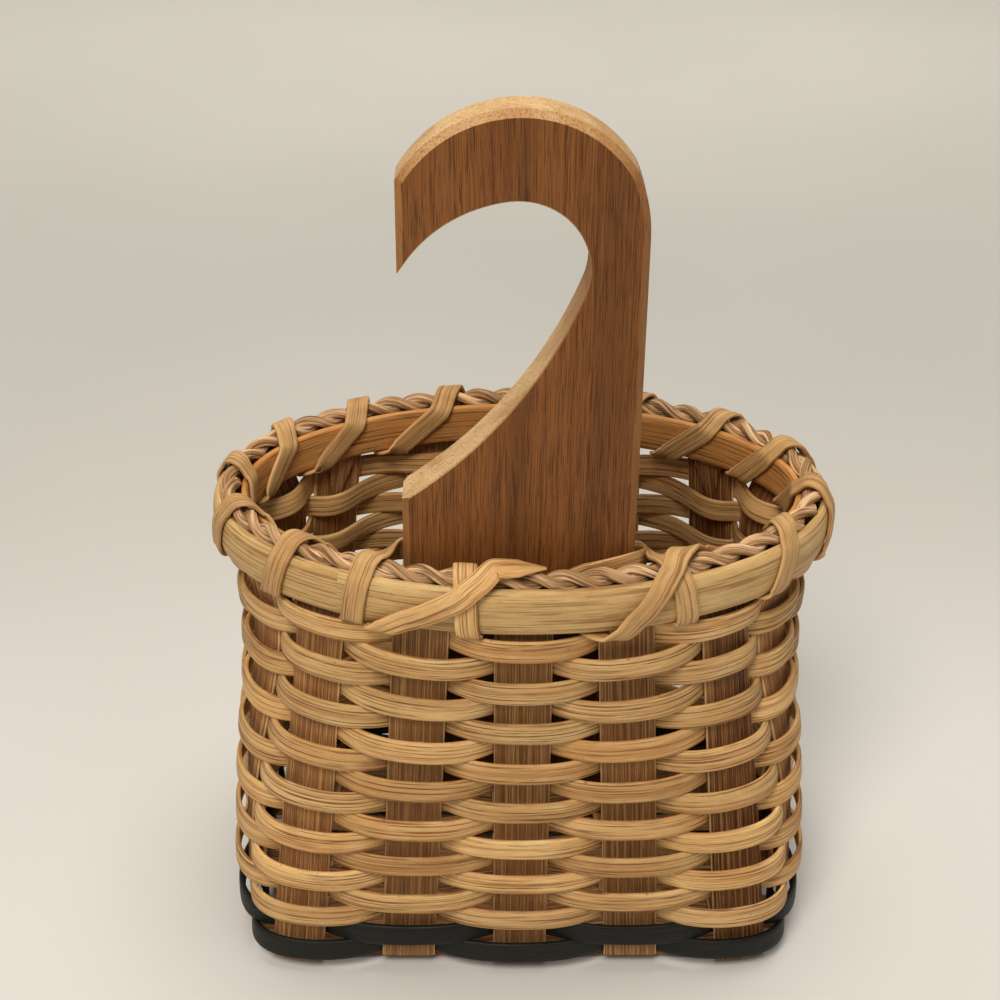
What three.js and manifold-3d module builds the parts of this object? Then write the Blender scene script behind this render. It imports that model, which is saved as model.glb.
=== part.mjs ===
// A hanging door basket: flat reed woven round upright stakes, a lashed rim and a flat oak hook.
// Sizes are in millimetres. X runs along the door, Y from the door into the room and Z up.
// The base stands on Z = 0, and the hook is on the wall nearest the door.
import * as THREE from "three";
import { mergeVertices } from "three/addons/utils/BufferGeometryUtils.js";
import Module from "manifold-3d";

// Space left between neighbouring pieces
const gap = 0.3;
const baseGap = 0.35;
const lashingGap = 0.35;
const lashingInsideGap = 0.75;
const lashingRowGap = 0.6;
const lashingSelfGap = 0.5;

// Stakes: five lie across the base and three along it, and both ends of each bend up into the wall
const crossStakeCount = 5;
const longStakeCount = 3;
const stakeWidth = 16;
const stakeThickness = 1.2;
const stakeBendRadius = 1.5;
const crossStakeSpace = 18.2;

// Filler strips, which close the base between the long stakes
const fillerWidth = 9.5;
const stripSpace = 0.75;
const fillerEndRoom = 5;

// Base outline: room between the outermost strips and the wall
const cornerRoom = 8.5;
const edgeRoom = 3.25;
const baseSquareness = 8;

// Rim outline: how far each end and side leans out on its way up, how far each end is drawn in at the
// waist, three quarters of the way up, and where the stakes stand in the rim
const endLean = -0.3;
const sideLean = 5;
const rimSquareness = 2;
const waist = 2;
const sideStakePitchAtRim = 23.2;
const sideStakeShiftAtRim = 1.5;
const nearLeftCornerSpace = 12.4;
const nearRightCornerSpace = 9.3;
const farRightCornerSpace = 7.5;
const farLeftCornerSpace = 7.5;

// Weavers: one closed round of flat oval reed per row, the lowest two dyed dark
const rowCount = 17;
const dyedRowCount = 2;
const weaverWidth = 6.83;
const weaverThickness = 1.6;
const weaverBelly = 1.1;
const rowGap = 0.35;

// Rim row: a thin flat reed woven above the weavers, hidden between the two rim bands
const rimRowWidth = 9.5;
const rimRowThickness = 0.8;

// Stake ends: every second one folds in over the rim row and is tucked down behind a weaver
const foldedThickness = 0.7;
const foldedHalfWidthAtBand = 4.8;
const foldedHalfWidthAtRow = 4;
const tuckedThickness = 0.5;
const tuckedHalfWidth = 2;
const tuckedBelowRow = 3;
const cutEndAboveRimRow = 1.3;

// Rim bands, and the seagrass that fills the groove between them
const outerBandWidth = 14.2;
const outerBandEdge = 1.2;
const outerBandThickness = 3.2;
const outerBandShoulder = 3.12;
const outerBandShoulderThickness = 2.72;
const innerBandWidth = 12.2;
const innerBandThickness = 2.4;
const seagrassRadius = 3.05;
const seagrassOffset = -0.3;
const seagrassSideGap = 0.45;
const seagrassUnderGap = 0.39;
const seagrassFacets = 8;

// Lashing: a flat oval reed wound once through every space between the stakes
const lashingWidth = 6.6;
const lashingThickness = 1.3;

// Lashing at the hook: X of each strip where it crosses the rim, in the order that it is wound
const rightDiagonalFoot = 18.3;
const rightDiagonalOverTop = [38.3, 43.3, 46.8, 51.3];
const rightStrapOverTop = [37.8, 38.1, 38.3, 39.3, 41.6];
const leftDiagonalOverTop = [-9.7, -4.7, 0.8];
const innerFaceRise = [-8.7, -0.7, 7.3];

// Lashing at the hook: steps along the rim from the slot that a strip enters or leaves
const secondSlotApproach = [8, 2.5];
const lastSlotRise = [1, 3.5, 4.5, 5.5];
const rightEndStep = 1.5;
const cutEndStep = [0.8, 1.2, 1.6, 2];
const innerFaceStep = 2.5;
const leftDiagonalStep = 5;

// Lashing at the hook: how the straps reach and round the board
const strapTurnBeforeBoard = 5.5;
const strapBeforeBoard = 2;
const strapOnBoardEdge = 5;
const strapLiftFromLeft = 25;
const highStrapRise = 3;
const highStrapDrop = 3.5;
const lowStrapDrop = 0.5;

// Oak hook: a flat board with a throat sawn into its left edge
const hookLength = 203;
const hookWidth = 62.4;
const hookThickness = 12.7;
const hookTop = 268.9;
const hookCentre = -1.6;
const hookChamfer = 1.8;
const crownCentre = -2.1;
const leftShoulderDrop = 17.9;
const rightShoulderDrop = 23.8;
const throatRadius = 17.9;
const throatCentre = -2.9;
const throatDrop = 22.6;
const noseRadius = 37;
const noseDrop = 42.1;
const heelRadius = 126;
const heelDrop = 106.3;

// Base layout: strips along X are counted from the near side, fillers and long stakes in turn
const crossStakePitch = stakeWidth + crossStakeSpace;
const stripPitch = (stakeWidth + fillerWidth) / 2 + stripSpace;
const stripCount = 2 * longStakeCount + 1;
const baseLength = crossStakeCount * stakeWidth + (crossStakeCount - 1) * crossStakeSpace + 2 * cornerRoom;
const baseDepth = (stripCount - 1) * stripPitch + fillerWidth + 2 * edgeRoom;
const rimLength = baseLength + 2 * endLean;
const rimDepth = baseDepth + 2 * sideLean;
const lowLevel = stakeThickness / 2;
const middleLevel = lowLevel + stakeThickness + baseGap;
const highLevel = middleLevel + stakeThickness + baseGap;

// Heights
const rowPitch = weaverWidth + rowGap;
const firstRowBottom = highLevel + stakeBendRadius;
const rowsTop = firstRowBottom + rowCount * rowPitch - rowGap;
const slotHeight = rowsTop + lashingRowGap + lashingThickness / 2;
const rimBottom = slotHeight + lashingThickness / 2 + lashingGap;
const rimTop = rimBottom + outerBandWidth;
const rimRowBottom = rimBottom + gap;
const rimRowTop = rimRowBottom + rimRowWidth;

// Offsets from the middle of the wall, positive outwards
const weaverEdgeOffset = stakeThickness / 2 + gap + weaverThickness / 2;
const weaverMiddleOffset = weaverEdgeOffset + weaverBelly;
const rimRowOffset = stakeThickness / 2 + gap + rimRowThickness / 2;
const foldedOffset = -(rimRowOffset + rimRowThickness / 2 + gap + foldedThickness / 2);
const tuckedOffset = -(stakeThickness / 2 + gap + tuckedThickness / 2);
const foldRadius = -foldedOffset / 2;
const outerBandInside = rimRowOffset + rimRowThickness / 2 + gap;
const outerBandOutside = outerBandInside + outerBandThickness;
const innerBandOutside = foldedOffset - foldedThickness / 2 - gap;
const innerBandInside = innerBandOutside - innerBandThickness;
const seagrassHeight = rimRowTop + foldRadius + foldedThickness / 2 + seagrassUnderGap + seagrassRadius;

const uprightCount = 2 * (crossStakeCount + longStakeCount);
const firstRightStake = crossStakeCount;
const lastFarStake = 2 * crossStakeCount + longStakeCount - 1;
const lastLeftStake = uprightCount - 1;

const mix = THREE.MathUtils.lerp;
const up = new THREE.Vector3(0, 0, 1);

// The middle of the wall at one height is a rounded oblong. Places on it are lengths along the curve,
// counter-clockwise seen from above, starting at the middle of the right end.
const wallSamples = 1440;
const waistRise = 0.75;
const walls = new Map();

function wallAt(height) {
  const rise = THREE.MathUtils.clamp(height / rimBottom, 0, 1);
  if (!walls.has(rise)) walls.set(rise, makeWall(rise));
  return walls.get(rise);
}

function makeWall(rise) {
  const waistShare = (rise ** 3 * (1 - rise)) / (waistRise ** 3 * (1 - waistRise));
  const halfLength = mix(baseLength, rimLength, rise) / 2 - waist * waistShare;
  const halfDepth = mix(baseDepth, rimDepth, rise) / 2;
  const power = rimSquareness + (baseSquareness - rimSquareness) * (1 - rise) ** 2;
  const samples = [];
  let length = 0;
  for (let i = 0; i <= wallSamples; i += 1) {
    const angle = (2 * Math.PI * i) / wallSamples;
    const across = Math.abs(Math.cos(angle) / halfLength) ** power;
    const along = Math.abs(Math.sin(angle) / halfDepth) ** power;
    const radius = (across + along) ** (-1 / power);
    const x = radius * Math.cos(angle);
    const y = radius * Math.sin(angle);
    if (i > 0) length += Math.hypot(x - samples[i - 1].x, y - samples[i - 1].y);
    samples.push({ x, y, length });
  }

  function pointAt(place) {
    const wrapped = THREE.MathUtils.euclideanModulo(place, length);
    let low = 0;
    let high = wallSamples;
    while (high - low > 1) {
      const middle = (low + high) >> 1;
      if (samples[middle].length > wrapped) high = middle;
      else low = middle;
    }
    const share = (wrapped - samples[low].length) / (samples[high].length - samples[low].length);
    const x = mix(samples[low].x, samples[high].x, share);
    const y = mix(samples[low].y, samples[high].y, share);
    const outward = new THREE.Vector3(
      (Math.sign(x) * Math.abs(x / halfLength) ** (power - 1)) / halfLength,
      (Math.sign(y) * Math.abs(y / halfDepth) ** (power - 1)) / halfDepth,
      0,
    ).normalize();
    return { x, y, outward };
  }

  // The place where x or y takes a value, searched over quarters of the turn
  function placeWhere(axis, value, firstQuarter, lastQuarter) {
    const first = (firstQuarter * wallSamples) / 4;
    const last = (lastQuarter * wallSamples) / 4;
    const sampleAt = (i) => samples[THREE.MathUtils.euclideanModulo(i, wallSamples)];
    for (let i = first; i < last; i += 1) {
      const here = sampleAt(i);
      const next = sampleAt(i + 1);
      const passed = (here[axis] - value) * (next[axis] - value) <= 0;
      if (!passed) continue;
      const share = (value - here[axis]) / (next[axis] - here[axis]);
      const turn = i < 0 ? -length : 0;
      return turn + here.length + share * Math.hypot(next.x - here.x, next.y - here.y);
    }
    throw new Error("the wall does not reach " + axis + " = " + value);
  }

  return { length, pointAt, placeWhere };
}

const placeNear = (wall, x) => wall.placeWhere("x", x, 2, 4);
const placeFar = (wall, x) => wall.placeWhere("x", x, 0, 2);
const placeRight = (wall, y) => wall.placeWhere("y", y, -1, 1);
const placeLeft = (wall, y) => wall.placeWhere("y", y, 1, 3);

// Where the stakes stand at the rim: the side stakes have their own pitch, and the near and far stakes
// are spread evenly between the four corners
const rimWall = wallAt(rimTop);
const crossBaseX = (i) => (i - (crossStakeCount - 1) / 2) * crossStakePitch;
const stripY = (j) => (j - longStakeCount) * stripPitch;
const longBaseY = (j) => stripY(2 * j + 1);
const sideRimY = (j, shift) => (j - (longStakeCount - 1) / 2) * sideStakePitchAtRim + shift;
const lastLong = longStakeCount - 1;
const lastCross = crossStakeCount - 1;
const nearLeftX = rimWall.pointAt(
  placeLeft(rimWall, sideRimY(0, sideStakeShiftAtRim)) + stakeWidth + nearLeftCornerSpace,
).x;
const nearRightX = rimWall.pointAt(
  placeRight(rimWall, sideRimY(0, -sideStakeShiftAtRim)) - stakeWidth - nearRightCornerSpace,
).x;
const farRightX = rimWall.pointAt(
  placeRight(rimWall, sideRimY(lastLong, -sideStakeShiftAtRim)) + stakeWidth + farRightCornerSpace,
).x;
const farLeftX = rimWall.pointAt(
  placeLeft(rimWall, sideRimY(lastLong, sideStakeShiftAtRim)) - stakeWidth - farLeftCornerSpace,
).x;

// Uprights are numbered counter-clockwise from the near left corner
const farUpright = (i) => lastFarStake - i;
const leftUpright = (j) => lastLeftStake - j;
const rightUpright = (j) => firstRightStake + j;
const uprightPlaces = new Map();

function placesAt(height) {
  const rise = THREE.MathUtils.clamp(height / rimBottom, 0, 1);
  if (uprightPlaces.has(rise)) return uprightPlaces.get(rise);
  const wall = wallAt(height);
  const places = new Array(uprightCount);
  for (let i = 0; i < crossStakeCount; i += 1) {
    const share = i / lastCross;
    places[i] = placeNear(wall, mix(crossBaseX(i), mix(nearLeftX, nearRightX, share), rise));
    places[farUpright(i)] = placeFar(wall, mix(crossBaseX(i), mix(farLeftX, farRightX, share), rise));
  }
  for (let j = 0; j < longStakeCount; j += 1) {
    const rightY = mix(longBaseY(j), sideRimY(j, -sideStakeShiftAtRim), rise);
    const leftY = mix(longBaseY(j), sideRimY(j, sideStakeShiftAtRim), rise);
    places[rightUpright(j)] = placeRight(wall, rightY);
    places[leftUpright(j)] = placeLeft(wall, leftY);
  }
  for (let k = 1; k < uprightCount; k += 1) {
    while (places[k] < places[k - 1]) places[k] += wall.length;
  }
  uprightPlaces.set(rise, places);
  return places;
}

// A point beside upright k: sideways along the wall, then out from its middle
function wallPoint(k, height, sideways, offset) {
  const { x, y, outward } = wallAt(height).pointAt(placesAt(height)[k] + sideways);
  return new THREE.Vector3(x, y, height).addScaledVector(outward, offset);
}

// A closed surface through sections with equal numbers of points, as a ring or with two ends
function loft(sections, isRing) {
  const count = sections[0].length;
  const faces = [];
  const spans = isRing ? sections.length : sections.length - 1;
  for (let j = 0; j < spans; j += 1) {
    const here = j * count;
    const next = ((j + 1) % sections.length) * count;
    for (let i = 0; i < count; i += 1) {
      const k = (i + 1) % count;
      faces.push([here + i, next + i, next + k], [here + i, next + k, here + k]);
    }
  }
  if (!isRing) {
    const end = (sections.length - 1) * count;
    for (let i = 0; i < count / 2 - 1; i += 1) {
      const m = count - 1 - i;
      faces.push([i, i + 1, m - 1], [i, m - 1, m]);
      faces.push([end + i, end + m - 1, end + i + 1], [end + i, end + m, end + m - 1]);
    }
  }
  const points = sections.flat();
  const volume = faces.reduce((sum, [a, b, c]) => {
    return sum + points[a].dot(new THREE.Vector3().crossVectors(points[b], points[c]));
  }, 0);
  const outwardFaces = volume < 0 ? faces.map(([a, b, c]) => [a, c, b]) : faces;
  const geometry = new THREE.BufferGeometry().setFromPoints(points);
  geometry.setIndex(outwardFaces.flat());
  geometry.computeVertexNormals();
  return geometry;
}

// A strip of flat reed. Each row holds the points across its middle surface and half its thickness.
function strip(rows) {
  const sections = rows.map(({ points, half }, j) => {
    const before = rows[Math.max(j - 1, 0)].points;
    const after = rows[Math.min(j + 1, rows.length - 1)].points;
    const face = [];
    const back = [];
    points.forEach((point, c) => {
      const arriving = point.clone().sub(before[c]).normalize();
      const leaving = after[c].clone().sub(point).normalize();
      const along = arriving.clone().add(leaving).normalize();
      const across = points[Math.min(c + 1, points.length - 1)].clone().sub(points[Math.max(c - 1, 0)]);
      const normal = along.cross(across).normalize();
      const isEnd = j === 0 || j === rows.length - 1;
      const halfTurn = isEnd ? 1 : Math.sqrt((1 + arriving.dot(leaving)) / 2);
      face.push(point.clone().addScaledVector(normal, half / halfTurn));
      back.unshift(point.clone().addScaledVector(normal, -half / halfTurn));
    });
    return [...face, ...back];
  });
  return loft(sections, false);
}

// One round along the wall: three sections at every upright, at its two edges and its middle
function ring(sectionAt) {
  const sections = [];
  for (let k = 0; k < uprightCount; k += 1) {
    for (const sideways of [-stakeWidth / 2, 0, stakeWidth / 2]) sections.push(sectionAt(k, sideways));
  }
  return loft(sections, true);
}

// Stakes
const hasFoldedEnd = (k) => k % 2 === 0;

function uprightRow(k, height, offset, halfWidth, half) {
  const points = [-halfWidth, 0, halfWidth].map((sideways) => wallPoint(k, height, sideways, offset));
  return { points, half };
}

// The rows of an upright from the first weaver to its end
function uprightRows(k) {
  const halfWidth = stakeWidth / 2;
  const half = stakeThickness / 2;
  const rows = [];
  for (let height = firstRowBottom; height < rowsTop; height += 2 * rowPitch) {
    rows.push(uprightRow(k, height, 0, halfWidth, half));
  }
  rows.push(uprightRow(k, rimBottom, 0, halfWidth, half));
  if (!hasFoldedEnd(k)) {
    rows.push(uprightRow(k, rimRowTop + cutEndAboveRimRow, 0, halfWidth, half));
    return rows;
  }
  rows.push(uprightRow(k, rimRowTop - 2 * stakeThickness, 0, halfWidth, half));
  const foldSteps = 6;
  for (let i = 0; i <= foldSteps; i += 1) {
    const angle = (Math.PI * i) / foldSteps;
    const offset = foldRadius * (Math.cos(angle) - 1);
    const height = rimRowTop + foldRadius * Math.sin(angle);
    rows.push(uprightRow(k, height, offset, halfWidth, foldedThickness / 2));
  }
  const tuckTop = rowsTop - rowPitch;
  const tuckBottom = rowsTop - 2 * rowPitch - tuckedBelowRow;
  rows.push(uprightRow(k, rimBottom, foldedOffset, foldedHalfWidthAtBand, foldedThickness / 2));
  rows.push(uprightRow(k, rowsTop, foldedOffset, foldedHalfWidthAtRow, foldedThickness / 2));
  rows.push(uprightRow(k, tuckTop, tuckedOffset, tuckedHalfWidth, tuckedThickness / 2));
  rows.push(uprightRow(k, tuckBottom, tuckedOffset, tuckedHalfWidth, tuckedThickness / 2));
  return rows;
}

// The bend from the base into an upright, from the wall down; inward points to the middle of the base
function bendRows(k, level, inward) {
  const steps = 3;
  const rows = [];
  for (let i = 0; i <= steps; i += 1) {
    const angle = (Math.PI / 2) * (1 - i / steps);
    const points = uprightRow(k, level + stakeBendRadius, 0, stakeWidth / 2, 0).points;
    for (const point of points) {
      point.addScaledVector(inward, stakeBendRadius * (1 - Math.sin(angle)));
      point.z = level + stakeBendRadius * (1 - Math.cos(angle));
    }
    rows.push({ points, half: stakeThickness / 2 });
  }
  return rows;
}

// One end of a stake from its top down to the base
function endRows(k, level, inward) {
  const rows = uprightRows(k).reverse();
  const bend = bendRows(k, level, inward);
  const isAtFirstWeaver = level + stakeBendRadius > firstRowBottom - gap;
  return [...rows, ...(isAtFirstWeaver ? bend.slice(1) : bend)];
}

// A whole stake: down one wall, along the base and up the other wall
function stake(firstEnd, baseRows, secondEnd) {
  const risingEnd = secondEnd.reverse().map(({ points, half }) => ({ points: points.reverse(), half }));
  return strip([...firstEnd, ...baseRows, ...risingEnd]);
}

// In the base the strips along X lie flat, and a cross stake bends over and under them
const isStripOnTop = (i, j) => (i + j) % 2 === 0;
const stripHalfWidth = (j) => (j % 2 === 0 ? fillerWidth : stakeWidth) / 2;

function crossStake(i) {
  const levelAt = (j) => (isStripOnTop(i, j) ? lowLevel : highLevel);
  const row = (y, z) => ({
    points: [-1, 0, 1].map((side) => new THREE.Vector3(crossBaseX(i) + (side * stakeWidth) / 2, y, z)),
    half: stakeThickness / 2,
  });
  const baseRows = [];
  for (let j = 0; j < stripCount; j += 1) {
    baseRows.push(row(stripY(j), levelAt(j)));
    const edge = stripY(j) + stripHalfWidth(j) + stripSpace / 2;
    if (j < stripCount - 1) baseRows.push(row(edge, middleLevel));
  }
  const near = endRows(i, levelAt(0), new THREE.Vector3(0, 1, 0));
  const far = endRows(farUpright(i), levelAt(stripCount - 1), new THREE.Vector3(0, -1, 0));
  return stake(near, baseRows, far);
}

// The rows of a strip along X between its two ends, level over every cross stake
function stripRows(j, columns) {
  const rows = [];
  for (let i = 0; i < crossStakeCount; i += 1) {
    for (const side of [-1, 1]) {
      const x = crossBaseX(i) + (side * stakeWidth) / 2;
      const z = isStripOnTop(i, j) ? highLevel : lowLevel;
      const points = columns.map((c) => new THREE.Vector3(x, stripY(j) + c * stripHalfWidth(j), z));
      rows.push({ points, half: stakeThickness / 2 });
    }
  }
  return rows;
}

function longStake(j) {
  const stripIndex = 2 * j + 1;
  const rows = stripRows(stripIndex, [-1, 0, 1]);
  const levels = rows.map((row) => row.points[0].z);
  const left = endRows(leftUpright(j), levels[0], new THREE.Vector3(1, 0, 0));
  const right = endRows(rightUpright(j), levels.at(-1), new THREE.Vector3(-1, 0, 0));
  const leftToRight = left.map(({ points, half }) => ({ points: points.reverse(), half }));
  return strip([...leftToRight, ...rows, ...right.reverse()]);
}

// Fillers stop short of the wall; the outer two are cut where the corner starts to round
function baseFiller(j) {
  const isOuter = j === 0 || j === stripCount - 1;
  const edge = Math.abs(stripY(j)) + fillerWidth / 2 + stakeThickness / 2 + 2 * gap;
  const cornerEnd = wallAt(0).pointAt(placeRight(wallAt(0), edge)).x;
  const end = isOuter ? cornerEnd : baseLength / 2 - fillerEndRoom;
  const rows = stripRows(j, [-1, 1]);
  for (const point of rows[0].points) point.x = -end;
  for (const point of rows.at(-1).points) point.x = end;
  return strip(rows);
}

// Weavers
function weaver(row) {
  const bottom = firstRowBottom + (row - 1) * rowPitch;
  const top = bottom + weaverWidth;
  const half = weaverThickness / 2;
  return ring((k, sideways) => {
    const side = (k + row) % 2 === 1 ? 1 : -1;
    const offset = side * (sideways === 0 ? weaverMiddleOffset : weaverEdgeOffset);
    return [
      wallPoint(k, bottom, sideways, offset + half),
      wallPoint(k, top, sideways, offset + half),
      wallPoint(k, top, sideways, offset - half),
      wallPoint(k, bottom, sideways, offset - half),
    ];
  });
}

// Rim pieces: each takes its section as offsets and heights
function rimRing(section) {
  return ring((k, sideways) => section.map(([offset, height]) => wallPoint(k, height, sideways, offset)));
}

function rimRow() {
  const half = rimRowThickness / 2;
  return ring((k, sideways) => {
    const offset = (k + rowCount) % 2 === 0 ? rimRowOffset : -rimRowOffset;
    return [
      wallPoint(k, rimRowBottom, sideways, offset + half),
      wallPoint(k, rimRowTop, sideways, offset + half),
      wallPoint(k, rimRowTop, sideways, offset - half),
      wallPoint(k, rimRowBottom, sideways, offset - half),
    ];
  });
}

// Both bands lean on the seagrass with a cut corner at the top
const grooveHalf = seagrassRadius + seagrassSideGap;
const outerBandGroove = Math.max(seagrassOffset + grooveHalf, outerBandInside);
const innerBandGroove = Math.min(seagrassOffset - grooveHalf, innerBandOutside);
const shoulderOffset = outerBandInside + outerBandShoulderThickness;
const outerBandSection = [
  [outerBandInside, rimBottom],
  [outerBandInside + outerBandEdge, rimBottom],
  [shoulderOffset, rimBottom + outerBandShoulder],
  [outerBandOutside, rimBottom + outerBandWidth / 2],
  [shoulderOffset, rimTop - outerBandShoulder],
  [outerBandGroove, rimTop],
  [outerBandInside, rimTop - 2 * (outerBandGroove - outerBandInside)],
];
const innerBandBottom = rimTop - innerBandWidth;
const innerBandSection = [
  [innerBandOutside, innerBandBottom],
  [innerBandInside, innerBandBottom],
  [innerBandInside, rimTop],
  [innerBandGroove, rimTop],
  [innerBandOutside, rimTop - 2 * (innerBandOutside - innerBandGroove)],
];
const seagrassSection = Array.from({ length: seagrassFacets }, (_, i) => {
  const angle = (2 * Math.PI * i) / seagrassFacets;
  return [
    seagrassOffset + seagrassRadius * Math.cos(angle),
    seagrassHeight + seagrassRadius * Math.sin(angle),
  ];
});

// Hook
const hookLeft = hookCentre - hookWidth / 2;
const hookRight = hookCentre + hookWidth / 2;
const hookBottom = hookTop - hookLength;
const heel = new THREE.Vector2(hookLeft, hookTop - heelDrop);
const noseTip = new THREE.Vector2(hookLeft, hookTop - noseDrop);
const throat = new THREE.Vector2(throatCentre, hookTop - throatDrop - throatRadius);

// The board stands just inside the inner rim band, where the band comes closest across its width
const bandFaceY = [hookLeft, hookRight].map((x) => {
  const { y, outward } = rimWall.pointAt(placeNear(rimWall, x));
  return y + outward.y * innerBandInside;
});
const hookFront = Math.max(...bandFaceY) + 2 * gap;
const hookBack = hookFront + hookThickness;

// The centre of a circle that lies a given distance from each of two points, on the side asked for
function centreAt(first, firstDistance, second, secondDistance, side) {
  const between = second.clone().sub(first);
  const span = between.length();
  const along = (firstDistance ** 2 - secondDistance ** 2 + span ** 2) / (2 * span);
  const aside = side * Math.sqrt(firstDistance ** 2 - along ** 2);
  const direction = between.normalize();
  return first
    .clone()
    .addScaledVector(direction, along)
    .add(new THREE.Vector2(-direction.y, direction.x).multiplyScalar(aside));
}

const angleFrom = (centre, point) => Math.atan2(point.y - centre.y, point.x - centre.x);

// The board's outline, with an arc on either side of the crown
function boardShape() {
  const crownRadius = (reach, drop) => (reach ** 2 + drop ** 2) / (2 * drop);
  const rightRadius = crownRadius(hookRight - crownCentre, rightShoulderDrop);
  const leftRadius = crownRadius(crownCentre - hookLeft, leftShoulderDrop);
  const rightCentre = new THREE.Vector2(crownCentre, hookTop - rightRadius);
  const leftCentre = new THREE.Vector2(crownCentre, hookTop - leftRadius);
  const rightShoulder = new THREE.Vector2(hookRight, hookTop - rightShoulderDrop);
  const leftShoulder = new THREE.Vector2(hookLeft, hookTop - leftShoulderDrop);
  const shape = new THREE.Shape();
  shape.moveTo(hookLeft, hookBottom);
  shape.lineTo(hookRight, hookBottom);
  const rightAngle = angleFrom(rightCentre, rightShoulder);
  const leftAngle = angleFrom(leftCentre, leftShoulder);
  shape.absarc(rightCentre.x, rightCentre.y, rightRadius, rightAngle, Math.PI / 2, false);
  shape.absarc(leftCentre.x, leftCentre.y, leftRadius, Math.PI / 2, leftAngle, false);
  return shape;
}

// The sawn throat: nose arc, throat arc and the long heel arc meet smoothly
function throatShape() {
  const nose = centreAt(throat, noseRadius - throatRadius, noseTip, noseRadius, 1);
  const heelCentre = centreAt(throat, heelRadius - throatRadius, heel, heelRadius, -1);
  const noseEnd = angleFrom(nose, throat);
  const heelStart = angleFrom(heelCentre, throat);
  const outside = hookLeft - hookThickness;
  const shape = new THREE.Shape();
  shape.moveTo(outside, noseTip.y);
  shape.absarc(nose.x, nose.y, noseRadius, angleFrom(nose, noseTip), noseEnd, true);
  shape.absarc(throat.x, throat.y, throatRadius, noseEnd, heelStart, true);
  shape.absarc(heelCentre.x, heelCentre.y, heelRadius, heelStart, angleFrom(heelCentre, heel), true);
  shape.lineTo(outside, heel.y);
  return shape;
}

const wasm = await Module();
wasm.setup();

function solidOf(geometry) {
  const bare = new THREE.BufferGeometry().setAttribute("position", geometry.getAttribute("position"));
  const merged = mergeVertices(bare, 1e-3);
  const vertProperties = merged.getAttribute("position").array;
  const triVerts = new Uint32Array(merged.index.array);
  return new wasm.Manifold(new wasm.Mesh({ numProp: 3, vertProperties, triVerts }));
}

function geometryOf(solid) {
  const mesh = solid.getMesh();
  const geometry = new THREE.BufferGeometry();
  geometry.setAttribute("position", new THREE.BufferAttribute(mesh.vertProperties, 3));
  geometry.setIndex(new THREE.BufferAttribute(mesh.triVerts, 1));
  const faceted = geometry.toNonIndexed();
  faceted.computeVertexNormals();
  return faceted;
}

function hook() {
  const board = new THREE.ExtrudeGeometry(boardShape(), {
    depth: hookThickness - 2 * hookChamfer,
    curveSegments: 10,
    bevelThickness: hookChamfer,
    bevelSize: hookChamfer,
    bevelOffset: -hookChamfer,
    bevelSegments: 1,
  });
  board.rotateX(Math.PI / 2);
  board.translate(0, hookBack - hookChamfer, 0);
  const cutter = new THREE.ExtrudeGeometry(throatShape(), {
    depth: 2 * hookThickness,
    curveSegments: 12,
    bevelEnabled: false,
  });
  cutter.rotateX(Math.PI / 2);
  cutter.translate(0, hookBack + hookThickness / 2, 0);
  return geometryOf(solidOf(board).subtract(solidOf(cutter)));
}

// Lashing: it runs round the rim at eight corners, one between each pair of neighbouring faces.
// Face 0 looks down, and the rest follow in steps of 45 degrees: out, up and back in.
const faceCount = 8;
const faceStep = (2 * Math.PI) / faceCount;
const faceAngle = (face) => -Math.PI / 2 + face * faceStep;
const rimSection = [...outerBandSection, ...innerBandSection];

function faceReach(face) {
  const out = Math.cos(faceAngle(face));
  const rise = Math.sin(faceAngle(face));
  const reaches = rimSection.map(([offset, height]) => offset * out + height * rise);
  const seagrassReach = seagrassOffset * out + seagrassHeight * rise + seagrassRadius;
  const clearance = out < -0.5 ? lashingInsideGap : lashingGap;
  return Math.max(...reaches, seagrassReach) + clearance + lashingThickness / 2;
}

// A point on the lashing's path: its place along the rim, its corner, and how far it is lifted off
function cornerPoint(place, corner, lift = 0, width = lashingWidth) {
  const angle = faceAngle(corner);
  const first = faceReach(corner) + lift;
  const second = faceReach(corner + 1) + lift;
  const aside = (second - first * Math.cos(faceStep)) / Math.sin(faceStep);
  const offset = first * Math.cos(angle) - aside * Math.sin(angle);
  const height = first * Math.sin(angle) + aside * Math.cos(angle);
  return rimPoint(place, offset, height, angle + faceStep / 2, width);
}

function rimPoint(place, offset, height, angle, width) {
  const { x, y, outward } = rimWall.pointAt(place);
  const position = new THREE.Vector3(x, y, height).addScaledVector(outward, offset);
  const normal = outward.clone().multiplyScalar(Math.cos(angle)).addScaledVector(up, Math.sin(angle));
  return { position, normal, width };
}

// A point on one upright face of the rim, part of the way from its first corner to its last
function facePoint(place, firstCorner, share, lift = 0) {
  const first = cornerPoint(place, firstCorner, lift);
  const last = cornerPoint(place, firstCorner + 1, lift);
  return {
    position: first.position.lerp(last.position, share),
    normal: first.normal.add(last.normal).normalize(),
    width: lashingWidth,
  };
}

// The space between upright g and the next, split into equal parts for the strips that share it
function slot(g, part = 0, parts = 1) {
  const places = placesAt(rimTop);
  const turn = Math.floor(g / uprightCount) * rimWall.length;
  const nextTurn = Math.floor((g + 1) / uprightCount) * rimWall.length;
  const from = places[g % uprightCount] + turn + stakeWidth / 2;
  const to = places[(g + 1) % uprightCount] + nextTurn - stakeWidth / 2;
  const width = Math.min(lashingWidth, (to - from - (parts + 1) * lashingSelfGap) / parts);
  const middle = mix(from, to, (part + 0.5) / parts);
  return { place: middle, width };
}

function slotPoint({ place, width }) {
  return rimPoint(place, 0, slotHeight, -Math.PI / 2, width);
}

// The way from the inside into a slot below the rim
const enterSlot = ({ place, width }) => [cornerPoint(place, 7, 0, width), slotPoint({ place, width })];

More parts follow.
